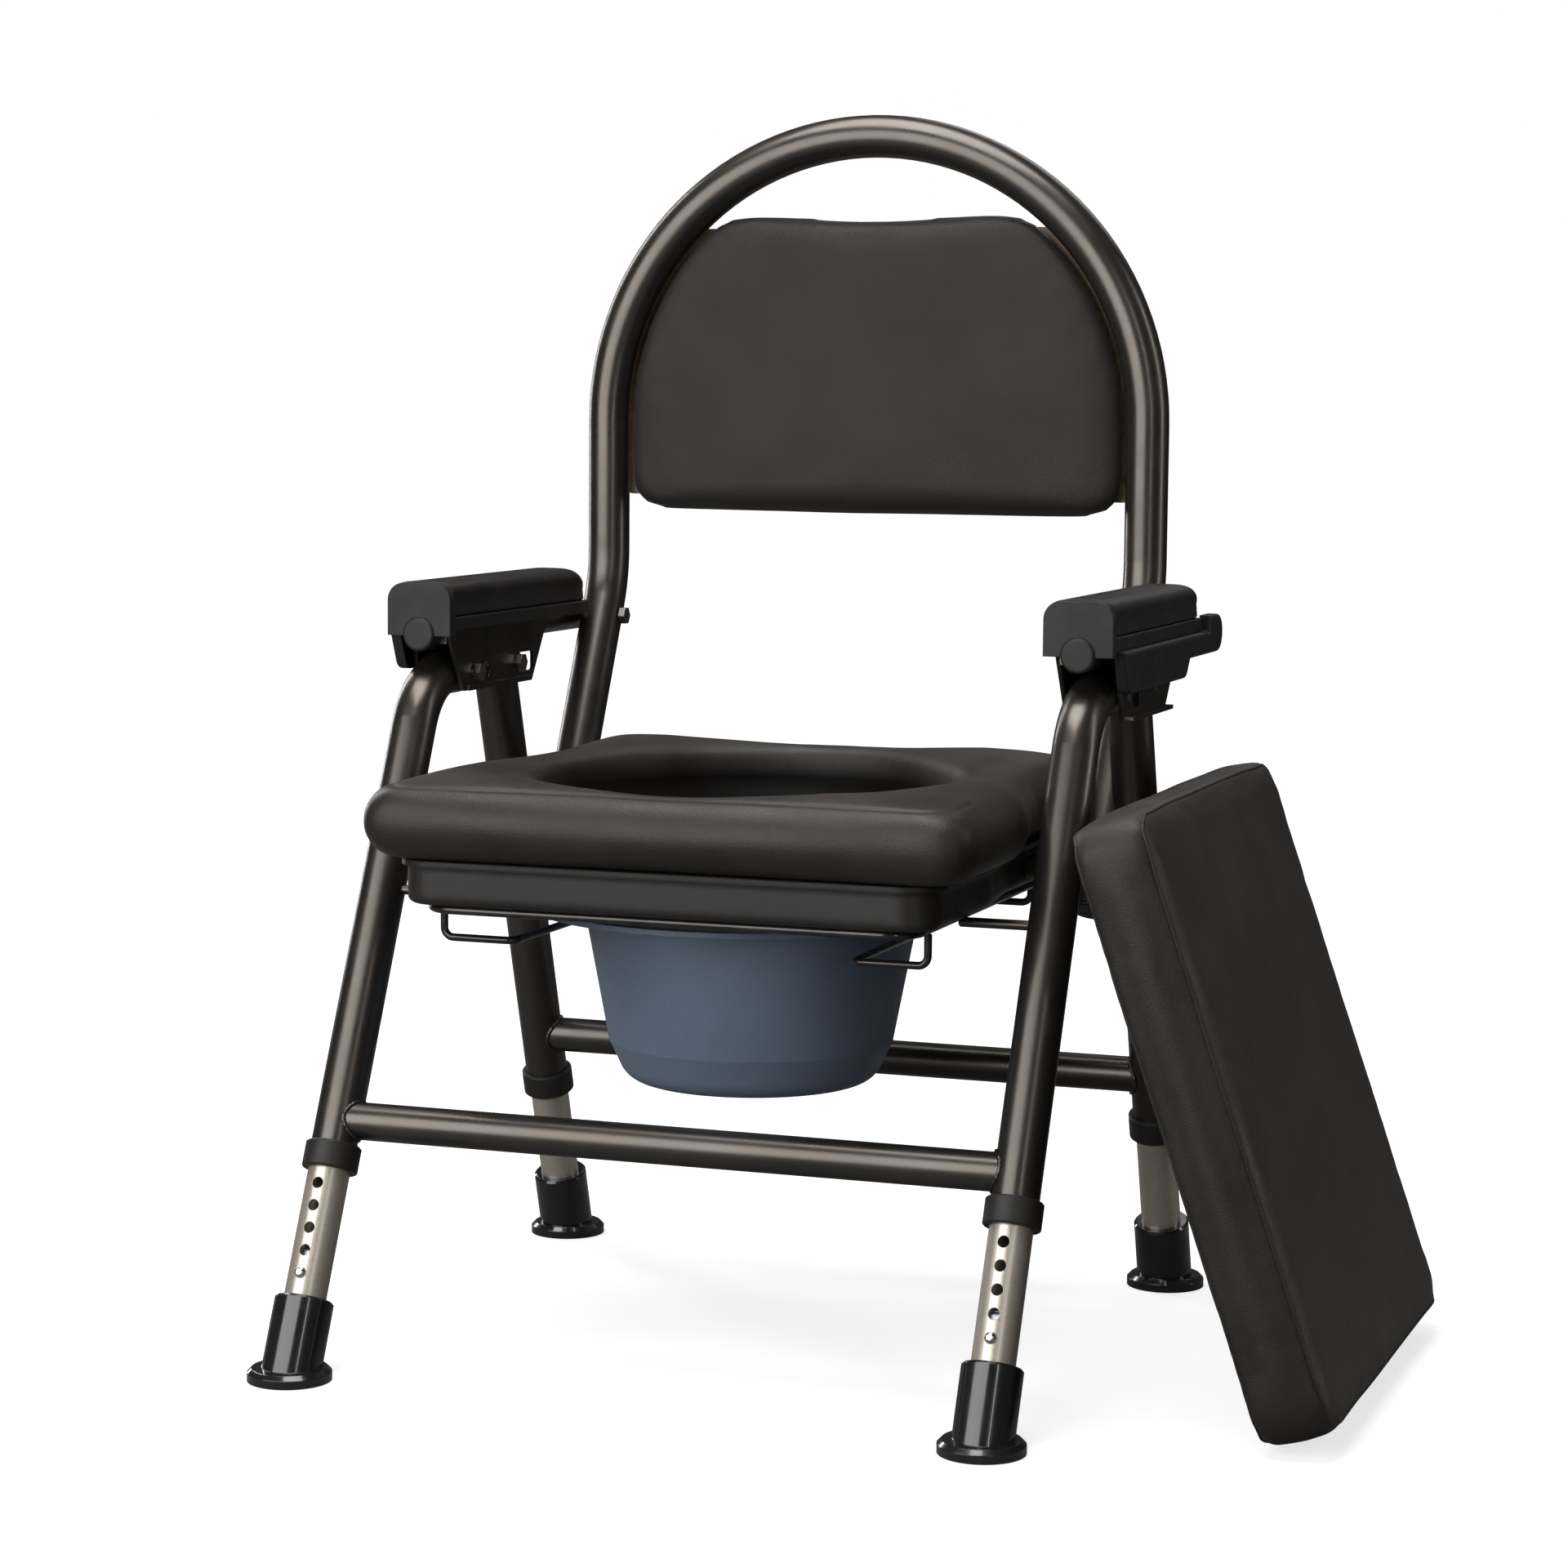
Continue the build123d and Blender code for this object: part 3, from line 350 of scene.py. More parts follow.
def shade(obj):
    """Smooth shading that keeps sharp edges; only flags change, never the mesh's points."""
    for polygon in obj.data.polygons:
        polygon.use_smooth = True
    mesh = obj.data
    edges = mesh.attributes.get("sharp_edge") or mesh.attributes.new("sharp_edge", "BOOLEAN", "EDGE")
    bm = bmesh.new()
    bm.from_mesh(mesh)
    sharp = [len(e.link_faces) == 2 and e.calc_face_angle(0) > SHARP_ANGLE for e in bm.edges]
    bm.free()
    edges.data.foreach_set("value", sharp)


MATERIALS = finish_nodes()
EMBOSSED = embossed_leatherette()


# ---------------------------------------------------------------- mesh helpers
def add_mesh(name, verts, faces, material):
    mesh = bpy.data.meshes.new(name)
    mesh.from_pydata([tuple(v) for v in verts], [], faces)
    mesh.update()
    bm = bmesh.new()
    bm.from_mesh(mesh)
    bmesh.ops.recalc_face_normals(bm, faces=bm.faces)
    bm.to_mesh(mesh)
    bm.free()
    for polygon in mesh.polygons:
        polygon.use_smooth = True
    obj = bpy.data.objects.new(name, mesh)
    bpy.context.collection.objects.link(obj)
    mesh.materials.append(material)
    return obj


def grid_faces(rows, columns, wrap_rows=False, wrap_columns=True):
    """Quads of a grid of points stored row by row."""
    faces = []
    for i in range(rows if wrap_rows else rows - 1):
        for j in range(columns if wrap_columns else columns - 1):
            k, l = (i + 1) % rows, (j + 1) % columns
            faces.append((i * columns + j, i * columns + l, k * columns + l, k * columns + j))
    return faces


def apply_modifiers(obj):
    """Replaces the mesh by its evaluated form."""
    graph = bpy.context.evaluated_depsgraph_get()
    result = bpy.data.meshes.new_from_object(obj.evaluated_get(graph))
    obj.modifiers.clear()
    old = obj.data
    obj.data = result
    bpy.data.meshes.remove(old)
    for polygon in obj.data.polygons:
        polygon.use_smooth = True


WELD_DISTANCE = 0.0002


def weld_points(obj):
    """Joins points that lie together and turns all faces outwards."""
    bm = bmesh.new()
    bm.from_mesh(obj.data)
    bmesh.ops.remove_doubles(bm, verts=bm.verts, dist=WELD_DISTANCE)
    bmesh.ops.recalc_face_normals(bm, faces=bm.faces)
    bm.to_mesh(obj.data)
    bm.free()


def remesh(obj, size):
    """Even quads all over a closed form, with the steps left by the voxels smoothed away."""
    modifier = obj.modifiers.new("remesh", "REMESH")
    modifier.mode = "VOXEL"
    modifier.voxel_size = size
    smooth = obj.modifiers.new("smooth", "SMOOTH")
    smooth.factor = 0.5
    smooth.iterations = 3
    apply_modifiers(obj)


CLOTH_FRAMES = 20
CLOTH_STIFFNESS = 18.0


def puff(obj, pressure, cap, pin=None):
    """Fills a closed cover with air by cloth simulation, and limits how far each point may move."""
    rest = [v.co.copy() for v in obj.data.vertices]
    if pin is not None:
        group = obj.vertex_groups.new(name="pin")
        for v in obj.data.vertices:
            if pin(v.co):
                group.add([v.index], 1.0, "REPLACE")
    modifier = obj.modifiers.new("cloth", "CLOTH")
    cloth = modifier.settings
    cloth.quality = 5
    cloth.mass = 0.4
    cloth.tension_stiffness = CLOTH_STIFFNESS
    cloth.compression_stiffness = CLOTH_STIFFNESS
    cloth.shear_stiffness = CLOTH_STIFFNESS * 0.6
    cloth.bending_stiffness = 1.5
    cloth.use_pressure = True
    cloth.uniform_pressure_force = pressure
    cloth.effector_weights.gravity = 0
    if pin is not None:
        cloth.vertex_group_mass = "pin"
    modifier.collision_settings.use_collision = False
    modifier.point_cache.frame_start = 1
    modifier.point_cache.frame_end = CLOTH_FRAMES
    scene = bpy.context.scene
    for number in range(1, CLOTH_FRAMES + 1):
        scene.frame_set(number)
    apply_modifiers(obj)
    for v, home in zip(obj.data.vertices, rest):
        move = v.co - home
        if move.length > cap:
            v.co = home + move * (cap / move.length)
    scene.frame_set(1)


def relax(obj, rounds):
    """Evens out the small wrinkles that the simulation leaves."""
    smooth = obj.modifiers.new("relax", "SMOOTH")
    smooth.factor = 0.5
    smooth.iterations = rounds
    apply_modifiers(obj)


def subdivide(obj):
    modifier = obj.modifiers.new("smooth", "SUBSURF")
    modifier.levels = 1
    modifier.render_levels = 1
    apply_modifiers(obj)


CORD_SEGMENTS = 8


def closed_cord(name, points, radius, material):
    """Round cord through a closed loop of points, such as piping or a weld bead."""
    count = len(points)
    verts = []
    for i, point in enumerate(points):
        along = (points[(i + 1) % count] - points[i - 1]).normalized()
        side = along.orthogonal() if i == 0 else side - along * side.dot(along)
        side.normalize()
        up = along.cross(side)
        for k in range(CORD_SEGMENTS):
            turn = 2 * math.pi * k / CORD_SEGMENTS
            verts.append(point + side * (radius * math.cos(turn)) + up * (radius * math.sin(turn)))
    return add_mesh(name, verts, grid_faces(count, CORD_SEGMENTS, wrap_rows=True), material)


CORD_R = 0.0011


def piping(name, skin, outside, body):
    """Cord sewn into a cover's seam, laid on the skin where it is nearest to the outside points."""
    corners = [polygon.vertices for polygon in skin.data.polygons]
    tree = BVHTree.FromPolygons([v.co for v in skin.data.vertices], corners)
    points = [tree.find_nearest(spot)[0] for spot in outside]
    count = len(points)
    for _ in range(3):
        points = [(points[i - 1] + 2 * p + points[(i + 1) % count]) / 4 for i, p in enumerate(points)]
    cord = closed_cord(name, points, CORD_R, MATERIALS["leatherette"])
    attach(cord, body)


# ---------------------------------------------------------------- seat cushion
def rounded_outline(corners, radii, steps):
    """Points of a polygon (x, y) with round corners."""
    points = []
    count = len(corners)
    for i, (corner, radius) in enumerate(zip(corners, radii)):
        before = (Vector(corners[i - 1]) - Vector(corner)).normalized()
        after = (Vector(corners[(i + 1) % count]) - Vector(corner)).normalized()
        half = before.angle(after) / 2
        centre = Vector(corner) + (before + after).normalized() * (radius / math.sin(half))
        start = Vector(corner) + before * (radius / math.tan(half)) - centre
        end = Vector(corner) + after * (radius / math.tan(half)) - centre
        turn = start.angle_signed(end)
        for k in range(steps + 1):
            share = k / steps
            points.append(centre + Matrix.Rotation(-turn * share, 2) @ start)
    return points


def ray_reach(outline, centre, angle):
    """Distance from centre to a closed outline in one direction."""
    way = Vector((math.cos(angle), math.sin(angle)))
    best = None
    for a, b in zip(outline, outline[1:] + outline[:1]):
        edge = b - a
        bottom = way.x * edge.y - way.y * edge.x
        if abs(bottom) < 1e-12:
            continue
        to = a - centre
        along = (to.x * edge.y - to.y * edge.x) / bottom
        share = (to.x * way.y - to.y * way.x) / bottom
        if along > 0 and -1e-9 <= share <= 1 + 1e-9:
            best = along if best is None else max(best, along)
    return best


def push_points(obj, distance_of):
    """Moves each point along its normal by a distance worked out from its place."""
    places = [(v.co.copy(), v.normal.copy()) for v in obj.data.vertices]
    for v, (place, normal) in zip(obj.data.vertices, places):
        v.co = place + normal * distance_of(place)
    obj.data.update()


GROOVE_R, GROOVE_PRESS = 0.0022, 0.0013  # half width and depth of a seam's groove


def seam_groove(obj, offset_of):
    """Presses a narrow groove into a cushion; offset_of gives a point's distance from the seam."""

    def push(place):
        away = offset_of(place)
        if away is None or abs(away) > 3 * GROOVE_R:
            return 0.0
        return -GROOVE_PRESS * math.exp(-((away / GROOVE_R) ** 2))

    push_points(obj, push)


def drape_noise(obj, height, scale, keep=None):
    """Slow unevenness of a filled cover, worked out from place alone; points that keep accepts stay."""

    def push(place):
        return 0.0 if keep is not None and keep(place) else height * noise.noise(place * scale)

    push_points(obj, push)


CUSHION_DRAW_IN = 0.0275  # each side draws in by this much towards the rear
CUSHION_TAPER = 0.06  # over this distance either side of the middle
CUSHION_CORNERS = [0.012] + [0.026] * 6 + [0.012]  # radii, from rear right round the front to rear left
CUSHION_CORNER_STEPS = 8
CUSHION_FRONT_HEIGHT, CUSHION_RISE = 0.052, 0.0050
CUSHION_BULLNOSE = 0.025  # how far the round edge of the cushion reaches out
CUSHION_CROWN, CUSHION_CROWN_WIDTH = 0.004, 0.05  # a top narrower than the width is crowned less
CUSHION_RIM = 0.016  # width and fall of the soft lip round the opening
CUSHION_RIM_FALL = 0.010
CUSHION_WELL = 0.033  # how far the wall of the opening draws in below the lip
CUSHION_WELL_EDGE = 0.010  # thickness left at the foot of the wall
CUSHION_FOOT_INSET, CUSHION_FOOT = 0.004, 0.002  # chamfer where the wall meets the underside
CUSHION_UNDERSIDE = 0.004  # points below this height belong to the flat underside
CUSHION_STEPS = 240
HOLE_CENTRE = Vector((0, -0.005))
HOLE_X, HOLE_Y = 0.1205, 0.1325  # half axes of the oval opening
SEAM_INSET = 0.004  # the front seam lies this far outside the start of the round edge
SEAM_FLOOR, SEAM_LENGTH = 0.04, 0.075  # the seam is above and in front of these distances


def cushion_profile(reach, hole, height):
    """Section of the cushion from the opening outwards and back, as (distance from centre, height)."""
    start = reach - CUSHION_BULLNOSE
    inner = hole + CUSHION_WELL + CUSHION_RIM
    foot = hole + CUSHION_FOOT_INSET
    profile = [(foot + (start - foot) * k / 8, 0.0) for k in range(9)]
    for k in range(1, 12):
        turn = -math.pi / 2 + math.pi * k / 12
        profile.append((start + CUSHION_BULLNOSE * math.cos(turn), height / 2 * (1 + math.sin(turn))))
    crown = CUSHION_CROWN * min(1.0, (start - inner) / CUSHION_CROWN_WIDTH)
    for k in range(13):
        profile.append((start + (inner - start) * k / 12, height + crown * math.sin(math.pi * k / 12)))
    for k in range(1, 9):
        turn = math.pi / 2 * k / 8
        fall = CUSHION_RIM_FALL * (1 - math.cos(turn))
        profile.append((inner - CUSHION_RIM * math.sin(turn), height - fall))
    lip = height - CUSHION_RIM_FALL
    for k in range(1, 11):
        share = k / 10
        wall = hole + CUSHION_WELL * math.sqrt(1 - share * share)
        profile.append((wall, lip - (lip - CUSHION_WELL_EDGE) * share))
    profile.append((hole, CUSHION_FOOT))
    return profile


def seat_cushion():
    """Padded seat: round edge, flat underside, soft lip and a wall that falls into the oval opening."""
    low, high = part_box("seat_cushion")
    front, rear, bottom = low.y, high.y, low.z
    wide, narrow = high.x, high.x - CUSHION_DRAW_IN
    right = [(narrow, rear), (narrow, CUSHION_TAPER), (wide, -CUSHION_TAPER), (wide, front)]
    left = [(-x, y) for x, y in reversed(right)]
    outline = rounded_outline(right + left, CUSHION_CORNERS, CUSHION_CORNER_STEPS)

    def top(y):
        return bottom + CUSHION_FRONT_HEIGHT + CUSHION_RISE * (y - front) / (rear - front)

    def on_underside(p):
        return p.z < bottom + CUSHION_UNDERSIDE

    angles = [2 * math.pi * i / CUSHION_STEPS for i in range(CUSHION_STEPS)]
    reaches = [ray_reach(outline, HOLE_CENTRE, angle) for angle in angles]
    rows = []
    for angle, reach in zip(angles, reaches):
        way = Vector((math.cos(angle), math.sin(angle)))
        hole = 1 / math.sqrt((way.x / HOLE_X) ** 2 + (way.y / HOLE_Y) ** 2)
        height = top((HOLE_CENTRE + way * reach).y) - bottom
        row = []
        for out, up in cushion_profile(reach, hole, height):
            spot = HOLE_CENTRE + way * out
            lift = up * (top(spot.y) - bottom) / height if up > height * 0.6 else up
            row.append((spot.x, spot.y, bottom + lift))
        rows.append(row)
    verts = [p for row in rows for p in row]
    faces = grid_faces(CUSHION_STEPS, len(rows[0]), wrap_rows=True)
    # the seat's material paints shade onto the opening's wall within this oval and below this lip height
    well = (HOLE_CENTRE, HOLE_X + CUSHION_WELL, HOLE_Y + CUSHION_WELL, top(HOLE_CENTRE.y))
    skin = add_mesh("seat_cushion_skin", verts, faces, leatherette("leatherette_seat_painted_shade", well))
    remesh(skin, 0.0045)
    puff(skin, pressure=1.5, cap=0.0012, pin=on_underside)
    relax(skin, 5)
    subdivide(skin)

    def from_seam(p):
        """Distance from the line where the top panel meets the round edge."""
        if p.z < bottom + SEAM_FLOOR or p.y > front + SEAM_LENGTH:
            return None
        flat = Vector((p.x, p.y)) - HOLE_CENTRE
        place = math.atan2(flat.y, flat.x) / (2 * math.pi) * CUSHION_STEPS % CUSHION_STEPS
        k = int(place)
        reach = reaches[k] + (reaches[(k + 1) % CUSHION_STEPS] - reaches[k]) * (place - k)
        return flat.length - (reach - CUSHION_BULLNOSE + SEAM_INSET)

    seam_groove(skin, from_seam)
    drape_noise(skin, 0.0006, 14.0, keep=on_underside)
    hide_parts("seat_cushion")
    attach(skin, "seat")


# ---------------------------------------------------------------- backrest pad
PAD_CORNER = 0.022  # lower corners
PAD_HUMP_X = 0.105  # the upper edge is highest this far from the middle
PAD_DIP = 0.005
PAD_SHOULDER_X, PAD_SHOULDER_FALL = 0.041, 0.017
PAD_AROUND, PAD_RINGS = 200, 16
PAD_ROUND = 0.09  # share of the pad's reach taken by its round edge
PAD_BOW, PAD_FRONT_INSET = 0.003, 0.0035  # swell of the front and the room left for it
PAD_PINNED = 0.006  # the rear layer that stays on the board
BISECTIONS = 26


def backrest_pad():
    """Thin padded panel that fills the arch: two low humps along the top, small round lower corners."""
    low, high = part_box("backrest_pad")
    half, bottom, top = high.x, low.z, high.z
    front, back = low.y, high.y
    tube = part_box("back_arch_tube")[1]
    arch_centre = tube.z - tube.x
    middle = 0.5 * (bottom + top)

    def inside(x, z):
        x = abs(x)
        if x <= PAD_HUMP_X:
            roof = top - PAD_DIP * (0.5 + 0.5 * math.cos(math.pi * x / PAD_HUMP_X))
        else:
            roof = top - PAD_SHOULDER_FALL * ((x - PAD_HUMP_X) / PAD_SHOULDER_X) ** 2
        corner_x, corner_z = x - (half - PAD_CORNER), bottom + PAD_CORNER - z
        if corner_x > 0 and corner_z > 0 and math.hypot(corner_x, corner_z) > PAD_CORNER:
            return False
        reach = x if z < arch_centre else math.hypot(x, z - arch_centre)
        return bottom <= z <= roof and reach <= half

    edge = []
    for i in range(PAD_AROUND):
        turn = 2 * math.pi * i / PAD_AROUND
        near, far = 0.0, 2 * half
        for _ in range(BISECTIONS):
            mean = (near + far) / 2
            if inside(mean * math.cos(turn), middle + mean * math.sin(turn)):
                near = mean
            else:
                far = mean
        edge.append(Vector((near * math.cos(turn), near * math.sin(turn))))
    for _ in range(2):
        edge = [(edge[i - 1] + 2 * p + edge[(i + 1) % PAD_AROUND]) / 4 for i, p in enumerate(edge)]

    thick = (back - front) / 2
    mean_y = (front + back) / 2
    verts, faces = [], []
    for side in (-1, 1):
        for r in range(PAD_RINGS):
            scale = 1.0 - (r / (PAD_RINGS - 1)) ** 1.3 * 0.995
            lift = math.sqrt(max(0.0, 1 - (1 - min(1.0, (1 - scale) / PAD_ROUND)) ** 2))
            for p in edge:
                x, z = p.x * scale, middle + p.y * scale
                bow = PAD_BOW * (1 - (x / half) ** 2) if side < 0 else 0.0
                depth = thick - PAD_FRONT_INSET if side < 0 else thick
                verts.append((x, mean_y + side * (depth + bow) * lift, z))
    count = PAD_AROUND * PAD_RINGS
    for base in (0, count):
        faces += [tuple(base + q for q in quad) for quad in grid_faces(PAD_RINGS, PAD_AROUND)]
        faces.append(tuple(base + count - PAD_AROUND + i for i in range(PAD_AROUND)))
    skin = add_mesh("backrest_pad_skin", verts, faces, EMBOSSED)
    weld_points(skin)
    remesh(skin, 0.0050)
    puff(skin, pressure=1.0, cap=0.0010, pin=lambda p: p.y > back - PAD_PINNED)
    relax(skin, 6)
    subdivide(skin)
    drape_noise(skin, 0.0005, 12.0)
    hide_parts("backrest_pad")
    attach(skin, "back_frame")


# ---------------------------------------------------------------- armrest pads
GROOVE_INSET = 0.018  # the groove along the top stops this far from each end
GROOVE_WIDTH, GROOVE_DEPTH = 0.0032, 0.0022
FOAM_HALF = 0.0252  # half the width of one pad
FOAM_TAIL = 0.022  # length of the round rear end
FOAM_TAIL_HEIGHT, FOAM_TAIL_WIDTH = 0.42, 0.80  # what is left of the section at the very end
FOAM_LENGTHWISE, FOAM_ACROSS = 110, 72


def armrest_pads():
    """Moulded foam pads: soft shoulders, slightly hollow sides, a round rear end, a groove on top."""
    low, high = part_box("armrest_pads")
    front, rear, bottom, top = low.y, high.y, low.z, high.z
    for side, name in ((-1, "left"), (1, "right")):
        middle = side * (high.x - FOAM_HALF)
        verts = []
        for i in range(FOAM_LENGTHWISE + 1):
            y = front + (rear - front) * i / FOAM_LENGTHWISE
            tail = min(1.0, (rear - y) / FOAM_TAIL)
            shoulder = math.sqrt(max(0.0, 1 - (1 - tail) ** 2))
            height = (top - bottom) * (FOAM_TAIL_HEIGHT + (1 - FOAM_TAIL_HEIGHT) * shoulder)
            width = FOAM_HALF * (FOAM_TAIL_WIDTH + (1 - FOAM_TAIL_WIDTH) * shoulder)
            for k in range(FOAM_ACROSS):
                turn = 2 * math.pi * k / FOAM_ACROSS
                c, s = math.cos(turn), math.sin(turn)
                x = width * math.copysign(abs(c) ** (0.55 if s > 0 else 0.2), c)
                up = math.copysign(abs(s) ** (0.62 if s > 0 else 0.16), s)
                z = bottom + height * (0.5 + 0.5 * up)
                level = (z - bottom) / height
                x *= 1 - 0.05 * math.sin(math.pi * min(1.0, level * 1.4)) - 0.05 * level
                if s > 0 and front + GROOVE_INSET < y < rear - 1.6 * GROOVE_INSET:
                    z -= GROOVE_DEPTH * math.exp(-((x / GROOVE_WIDTH) ** 2)) * shoulder
                verts.append((middle + x, y, z))
        faces = grid_faces(FOAM_LENGTHWISE + 1, FOAM_ACROSS)
        faces.append(tuple(range(FOAM_ACROSS)))
        faces.append(tuple(FOAM_LENGTHWISE * FOAM_ACROSS + k for k in range(FOAM_ACROSS)))
        pad = add_mesh(f"armrest_pad_skin_{name}", verts, faces, MATERIALS["armrest_foam"])
        shade(pad)
        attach(pad, "back_frame")
        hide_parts("armrest_pads")


# ---------------------------------------------------------------- loose opening cover
COVER_LEAN = math.radians(19.1)
COVER_SIZE = Vector((0.402, 0.428, 0.058))  # width, length and thickness
COVER_CORNER = 0.026  # corners of the large faces
COVER_EDGE = 0.007  # round of the long edges
COVER_GRID = 56
COVER_CROWN, COVER_FACE_INSET = 0.0035, 0.002  # swell of the large faces and the room left for it
COVER_BAND_LEVELS, COVER_BAND_SWELL = 6, 0.0015
SEAM_LOOK = 0.03  # the seam is the place of the skin nearest to a point this far off the corner


def opening_cover():
    """Box cushion that closes the opening: round corners, crowned faces, two piped seams."""
    low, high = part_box("opening_cover")
    half = COVER_SIZE / 2
    up = Vector((-math.sin(COVER_LEAN), 0, math.cos(COVER_LEAN)))
    out = Vector((math.cos(COVER_LEAN), 0, math.sin(COVER_LEAN)))
    along = Vector((0, 1, 0))
    foot_x = high.x - half.z * math.cos(COVER_LEAN)
    foot = Vector((foot_x, (low.y + high.y) / 2, low.z + half.z * math.sin(COVER_LEAN)))
    middle = foot + up * half.y

    def point(u, v, face):
        """Point for a place u, v in -1..1 on one large face; edges roll over onto the band."""
        a, b = u * half.x, v * half.y
        over_a = max(0.0, abs(a) - (half.x - COVER_CORNER))
        over_b = max(0.0, abs(b) - (half.y - COVER_CORNER))
        if over_a > 0 and over_b > 0:
            reach, limit = math.hypot(over_a, over_b), max(over_a, over_b)
            a = math.copysign(half.x - COVER_CORNER + over_a * limit / reach, a)
            b = math.copysign(half.y - COVER_CORNER + over_b * limit / reach, b)
            from_edge = COVER_CORNER - limit
        else:
            from_edge = min(half.x - abs(a), half.y - abs(b))
        roll = max(0.0, 1 - from_edge / COVER_EDGE)
        depth = half.z - COVER_EDGE * (1 - math.sqrt(max(0.0, 1 - roll * roll)))
        crown = COVER_CROWN * (1 - u * u) * (1 - v * v)
        return middle + along * a + up * b + out * (face * (depth - COVER_FACE_INSET + crown))

    even = [-1 + 2 * i / COVER_GRID for i in range(COVER_GRID + 1)]
    steps = [math.copysign(1 - (1 - abs(t)) ** 1.5, t) for t in even]
    verts = [point(u, v, face) for face in (-1, 1) for u in steps for v in steps]
    wide = COVER_GRID + 1
    side_count = wide**2
    faces = []
    for base in (0, side_count):
        faces += [tuple(base + q for q in quad) for quad in grid_faces(wide, wide, wrap_columns=False)]
    ring = [i * wide for i in range(COVER_GRID)] + [COVER_GRID * wide + j for j in range(COVER_GRID)]
    ring += [(COVER_GRID - i) * wide + COVER_GRID for i in range(COVER_GRID)]
    ring += [COVER_GRID - j for j in range(COVER_GRID)]

    def outwards(spot):
        """The part of a point's offset from the middle that lies in the plane of the large faces."""
        away = spot - middle
        return away - out * away.dot(out)

    loops = [ring]
    for level in range(1, COVER_BAND_LEVELS):
        share = level / COVER_BAND_LEVELS
        swell = COVER_BAND_SWELL * math.sin(math.pi * share)
        loop = []
        for index in ring:
            spot = verts[index].lerp(verts[index + side_count], share)
            verts.append(spot + outwards(spot).normalized() * swell)
            loop.append(len(verts) - 1)
        loops.append(loop)
    loops.append([index + side_count for index in ring])
    for lower, upper in zip(loops, loops[1:]):
        for i in range(len(ring)):
            j = (i + 1) % len(ring)
            faces.append((lower[i], lower[j], upper[j], upper[i]))
    skin = add_mesh("opening_cover_skin", verts, faces, MATERIALS["leatherette"])
    remesh(skin, 0.0050)
    puff(skin, pressure=2.0, cap=0.0015)
    relax(skin, 2)
    subdivide(skin)
    drape_noise(skin, 0.0008, 9.0)
    for face, name in ((-1, "back"), (1, "face")):
        plane = middle + out * (face * (half.z + SEAM_LOOK))
        offsets = [outwards(verts[index]) for index in ring]
        outside = [plane + offset + offset.normalized() * SEAM_LOOK for offset in offsets]
        piping(f"cover_piping_{name}", skin, outside, "opening_cover")
    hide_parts("opening_cover")
    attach(skin, "opening_cover")


# ---------------------------------------------------------------- weld beads
LEG_R, BAR_R, BEAD_R = 0.0165, 0.0135, 0.0015
BEAD_STEPS = 72
BEAD_RIPPLES = 24
BEAD_LIFT, BEAD_RIPPLE, BEAD_INSET = 0.25, 0.22, 0.2  # in radii of the bead


def weld_beads():
    """Rippled weld beads where the two crossbars meet the legs."""
    for bar, legs, lean, body in (
        ("front_crossbar", "front_legs", FRONT_LEAN, "front_frame"),
        ("rear_crossbar", "rear_legs", -REAR_LEAN, "back_frame"),
    ):
        low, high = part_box(bar)
        y, z = (low.y + high.y) / 2, (low.z + high.z) / 2
        leg_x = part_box(legs)[1].x - LEG_R
        for side, name in ((-1, "left"), (1, "right")):
            points = []
            for i in range(BEAD_STEPS):
                turn = 2 * math.pi * i / BEAD_STEPS
                across = BAR_R * (math.cos(turn) * math.cos(lean) - math.sin(turn) * math.sin(lean))
                x = side * (leg_x - math.sqrt(LEG_R**2 - across**2) - BEAD_R * BEAD_INSET)
                out = BAR_R + BEAD_R * (BEAD_LIFT + BEAD_RIPPLE * math.sin(turn * BEAD_RIPPLES))
                points.append(Vector((x, y + out * math.cos(turn), z + out * math.sin(turn))))
            bead = closed_cord(f"weld_{bar}_{name}", points, BEAD_R, MATERIALS["frame_paint"])
            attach(bead, body)


seat_cushion()
backrest_pad()
armrest_pads()
opening_cover()
weld_beads()


# ---------------------------------------------------------------- stage, light and camera
FLOOR_SIZE, FLOOR_DROP = 60, 0.0005
FLOOR_GLOW = 0.70  # the floor's own light as the camera sees it near the chair; it rises to 1 far away
FLOOR_FADE = (1.0, 3.5)  # distances from the chair where that rise starts and ends
FLOOR_GREY, FLOOR_BOUNCE = 0.60, 0.16  # diffuse colour as the camera and as the chair sees it
ROOM_LIGHT = 0.05

# name, place, the point it faces, width, height, power in watts
LIGHTS = (
    ("key_front_left", (-0.95, -2.25, 1.15), (0, 0, 0.45), 2.6, 2.0, 55),
    ("overhead", (-0.2, -0.3, 2.5), (0, 0, 0.4), 1.9, 1.4, 48),
    ("rim_right", (2.0, 0.55, 0.95), (0, 0, 0.45), 0.09, 1.9, 6),
    ("rim_left", (-1.9, 1.2, 1.1), (0, 0, 0.45), 0.25, 1.8, 14),
    ("front_strip", (1.75, -2.0, 1.0), (0, 0, 0.45), 0.12, 1.8, 5),
    ("rear_fill", (0.3, 2.3, 2.4), (0, 0, 0.45), 1.6, 1.2, 9),
)

CAMERA_PLACE = (0.9323, -2.5806, 0.6933)
CAMERA_TURN = (19.43, -5.99, 0.507)  # yaw, pitch and roll in degrees, solved from the photograph
CAMERA_LENS, CAMERA_SENSOR = 86.97, 36.0


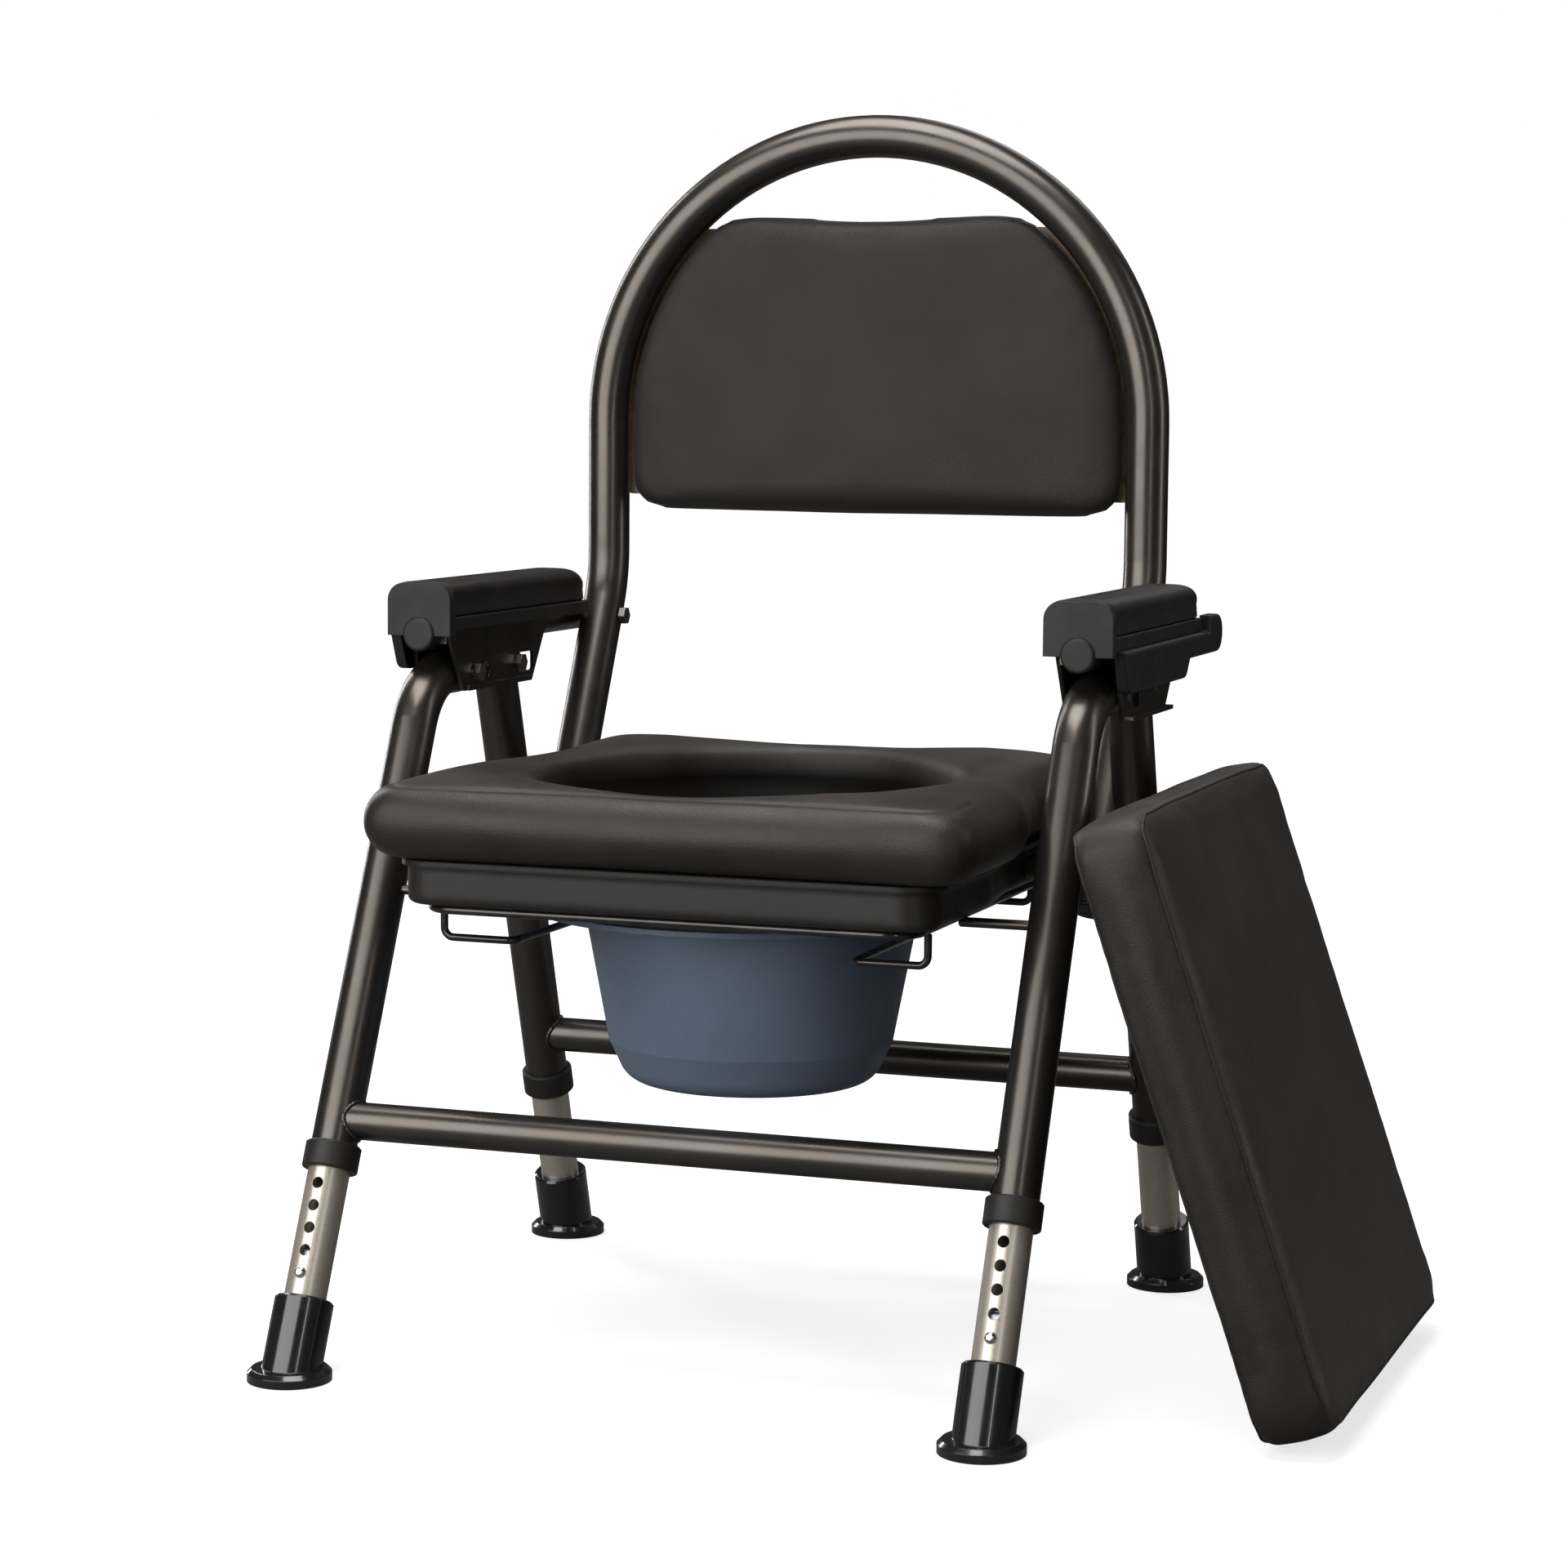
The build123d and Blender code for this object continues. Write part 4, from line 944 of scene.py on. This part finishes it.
def stage():
    """Pale floor that runs into a white room without a horizon and keeps a soft shadow."""
    floor_mat = bpy.data.materials.new("pale_floor")
    floor_mat.use_nodes = True
    tree = floor_mat.node_tree
    tree.nodes.clear()

    def node(kind, **inputs):
        made = tree.nodes.new(kind)
        for key, value in inputs.items():
            made.inputs[key].default_value = value
        return made

    place = node("ShaderNodeTexCoord")
    length = node("ShaderNodeVectorMath")
    length.operation = "LENGTH"
    tree.links.new(place.outputs["Object"], length.inputs[0])
    rise = {"From Min": FLOOR_FADE[0], "From Max": FLOOR_FADE[1], "To Min": FLOOR_GLOW, "To Max": 1}
    fade = node("ShaderNodeMapRange", **rise)
    tree.links.new(length.outputs["Value"], fade.inputs["Value"])
    seen = node("ShaderNodeLightPath")
    glow = node("ShaderNodeMath")
    glow.operation = "MULTIPLY"
    tree.links.new(fade.outputs["Result"], glow.inputs[0])
    tree.links.new(seen.outputs["Is Camera Ray"], glow.inputs[1])
    light = node("ShaderNodeEmission")
    tree.links.new(glow.outputs[0], light.inputs["Strength"])
    grey = node("ShaderNodeMapRange", **{"To Min": FLOOR_BOUNCE, "To Max": FLOOR_GREY})
    tree.links.new(seen.outputs["Is Camera Ray"], grey.inputs["Value"])
    matt = node("ShaderNodeBsdfDiffuse")
    tree.links.new(grey.outputs["Result"], matt.inputs["Color"])
    both = node("ShaderNodeAddShader")
    tree.links.new(light.outputs[0], both.inputs[0])
    tree.links.new(matt.outputs[0], both.inputs[1])
    out = node("ShaderNodeOutputMaterial")
    tree.links.new(both.outputs[0], out.inputs["Surface"])
    bpy.ops.mesh.primitive_plane_add(size=FLOOR_SIZE, location=(0, 0, -FLOOR_DROP))
    floor = bpy.context.object
    floor.name = "floor"
    floor.data.materials.append(floor_mat)

    world = bpy.data.worlds.new("studio")
    world.use_nodes = True
    bpy.context.scene.world = world
    tree = world.node_tree
    tree.nodes.clear()
    out = node("ShaderNodeOutputWorld")
    mix = node("ShaderNodeMixShader")
    white = node("ShaderNodeBackground", Color=(1, 1, 1, 1), Strength=1.0)
    room = node("ShaderNodeBackground", Color=(1, 1, 1, 1), Strength=ROOM_LIGHT)
    path = node("ShaderNodeLightPath")
    tree.links.new(path.outputs["Is Camera Ray"], mix.inputs[0])
    tree.links.new(room.outputs[0], mix.inputs[1])
    tree.links.new(white.outputs[0], mix.inputs[2])
    tree.links.new(mix.outputs[0], out.inputs[0])


def softbox(name, spot, target, width, height, power):
    """Rectangular studio light that the camera itself does not see."""
    data = bpy.data.lights.new(name, "AREA")
    data.shape = "RECTANGLE"
    data.size, data.size_y = width, height
    data.energy = power
    light = bpy.data.objects.new(name, data)
    light.location = spot
    light.visible_camera = False
    light.rotation_mode = "QUATERNION"
    light.rotation_quaternion = (Vector(target) - Vector(spot)).to_track_quat("-Z", "Y")
    bpy.context.collection.objects.link(light)


def camera():
    """The photograph's camera."""
    yaw, pitch, roll = (math.radians(degrees) for degrees in CAMERA_TURN)
    level = Vector((-math.sin(yaw), math.cos(yaw), 0))
    forward = level * math.cos(pitch) + Vector((0, 0, math.sin(pitch)))
    right = Vector((math.cos(yaw), math.sin(yaw), 0))
    up = right.cross(forward)
    turned_right = right * math.cos(roll) + up * math.sin(roll)
    turned_up = up * math.cos(roll) - right * math.sin(roll)
    data = bpy.data.cameras.new("camera")
    data.sensor_width = CAMERA_SENSOR
    data.lens = CAMERA_LENS
    cam = bpy.data.objects.new("camera", data)
    basis = Matrix((turned_right, turned_up, -forward)).transposed()
    cam.matrix_world = Matrix.Translation(CAMERA_PLACE) @ basis.to_4x4()
    bpy.context.collection.objects.link(cam)
    bpy.context.scene.camera = cam


stage()
for light in LIGHTS:
    softbox(*light)
camera()
bpy.context.scene.view_settings.view_transform = "Standard"
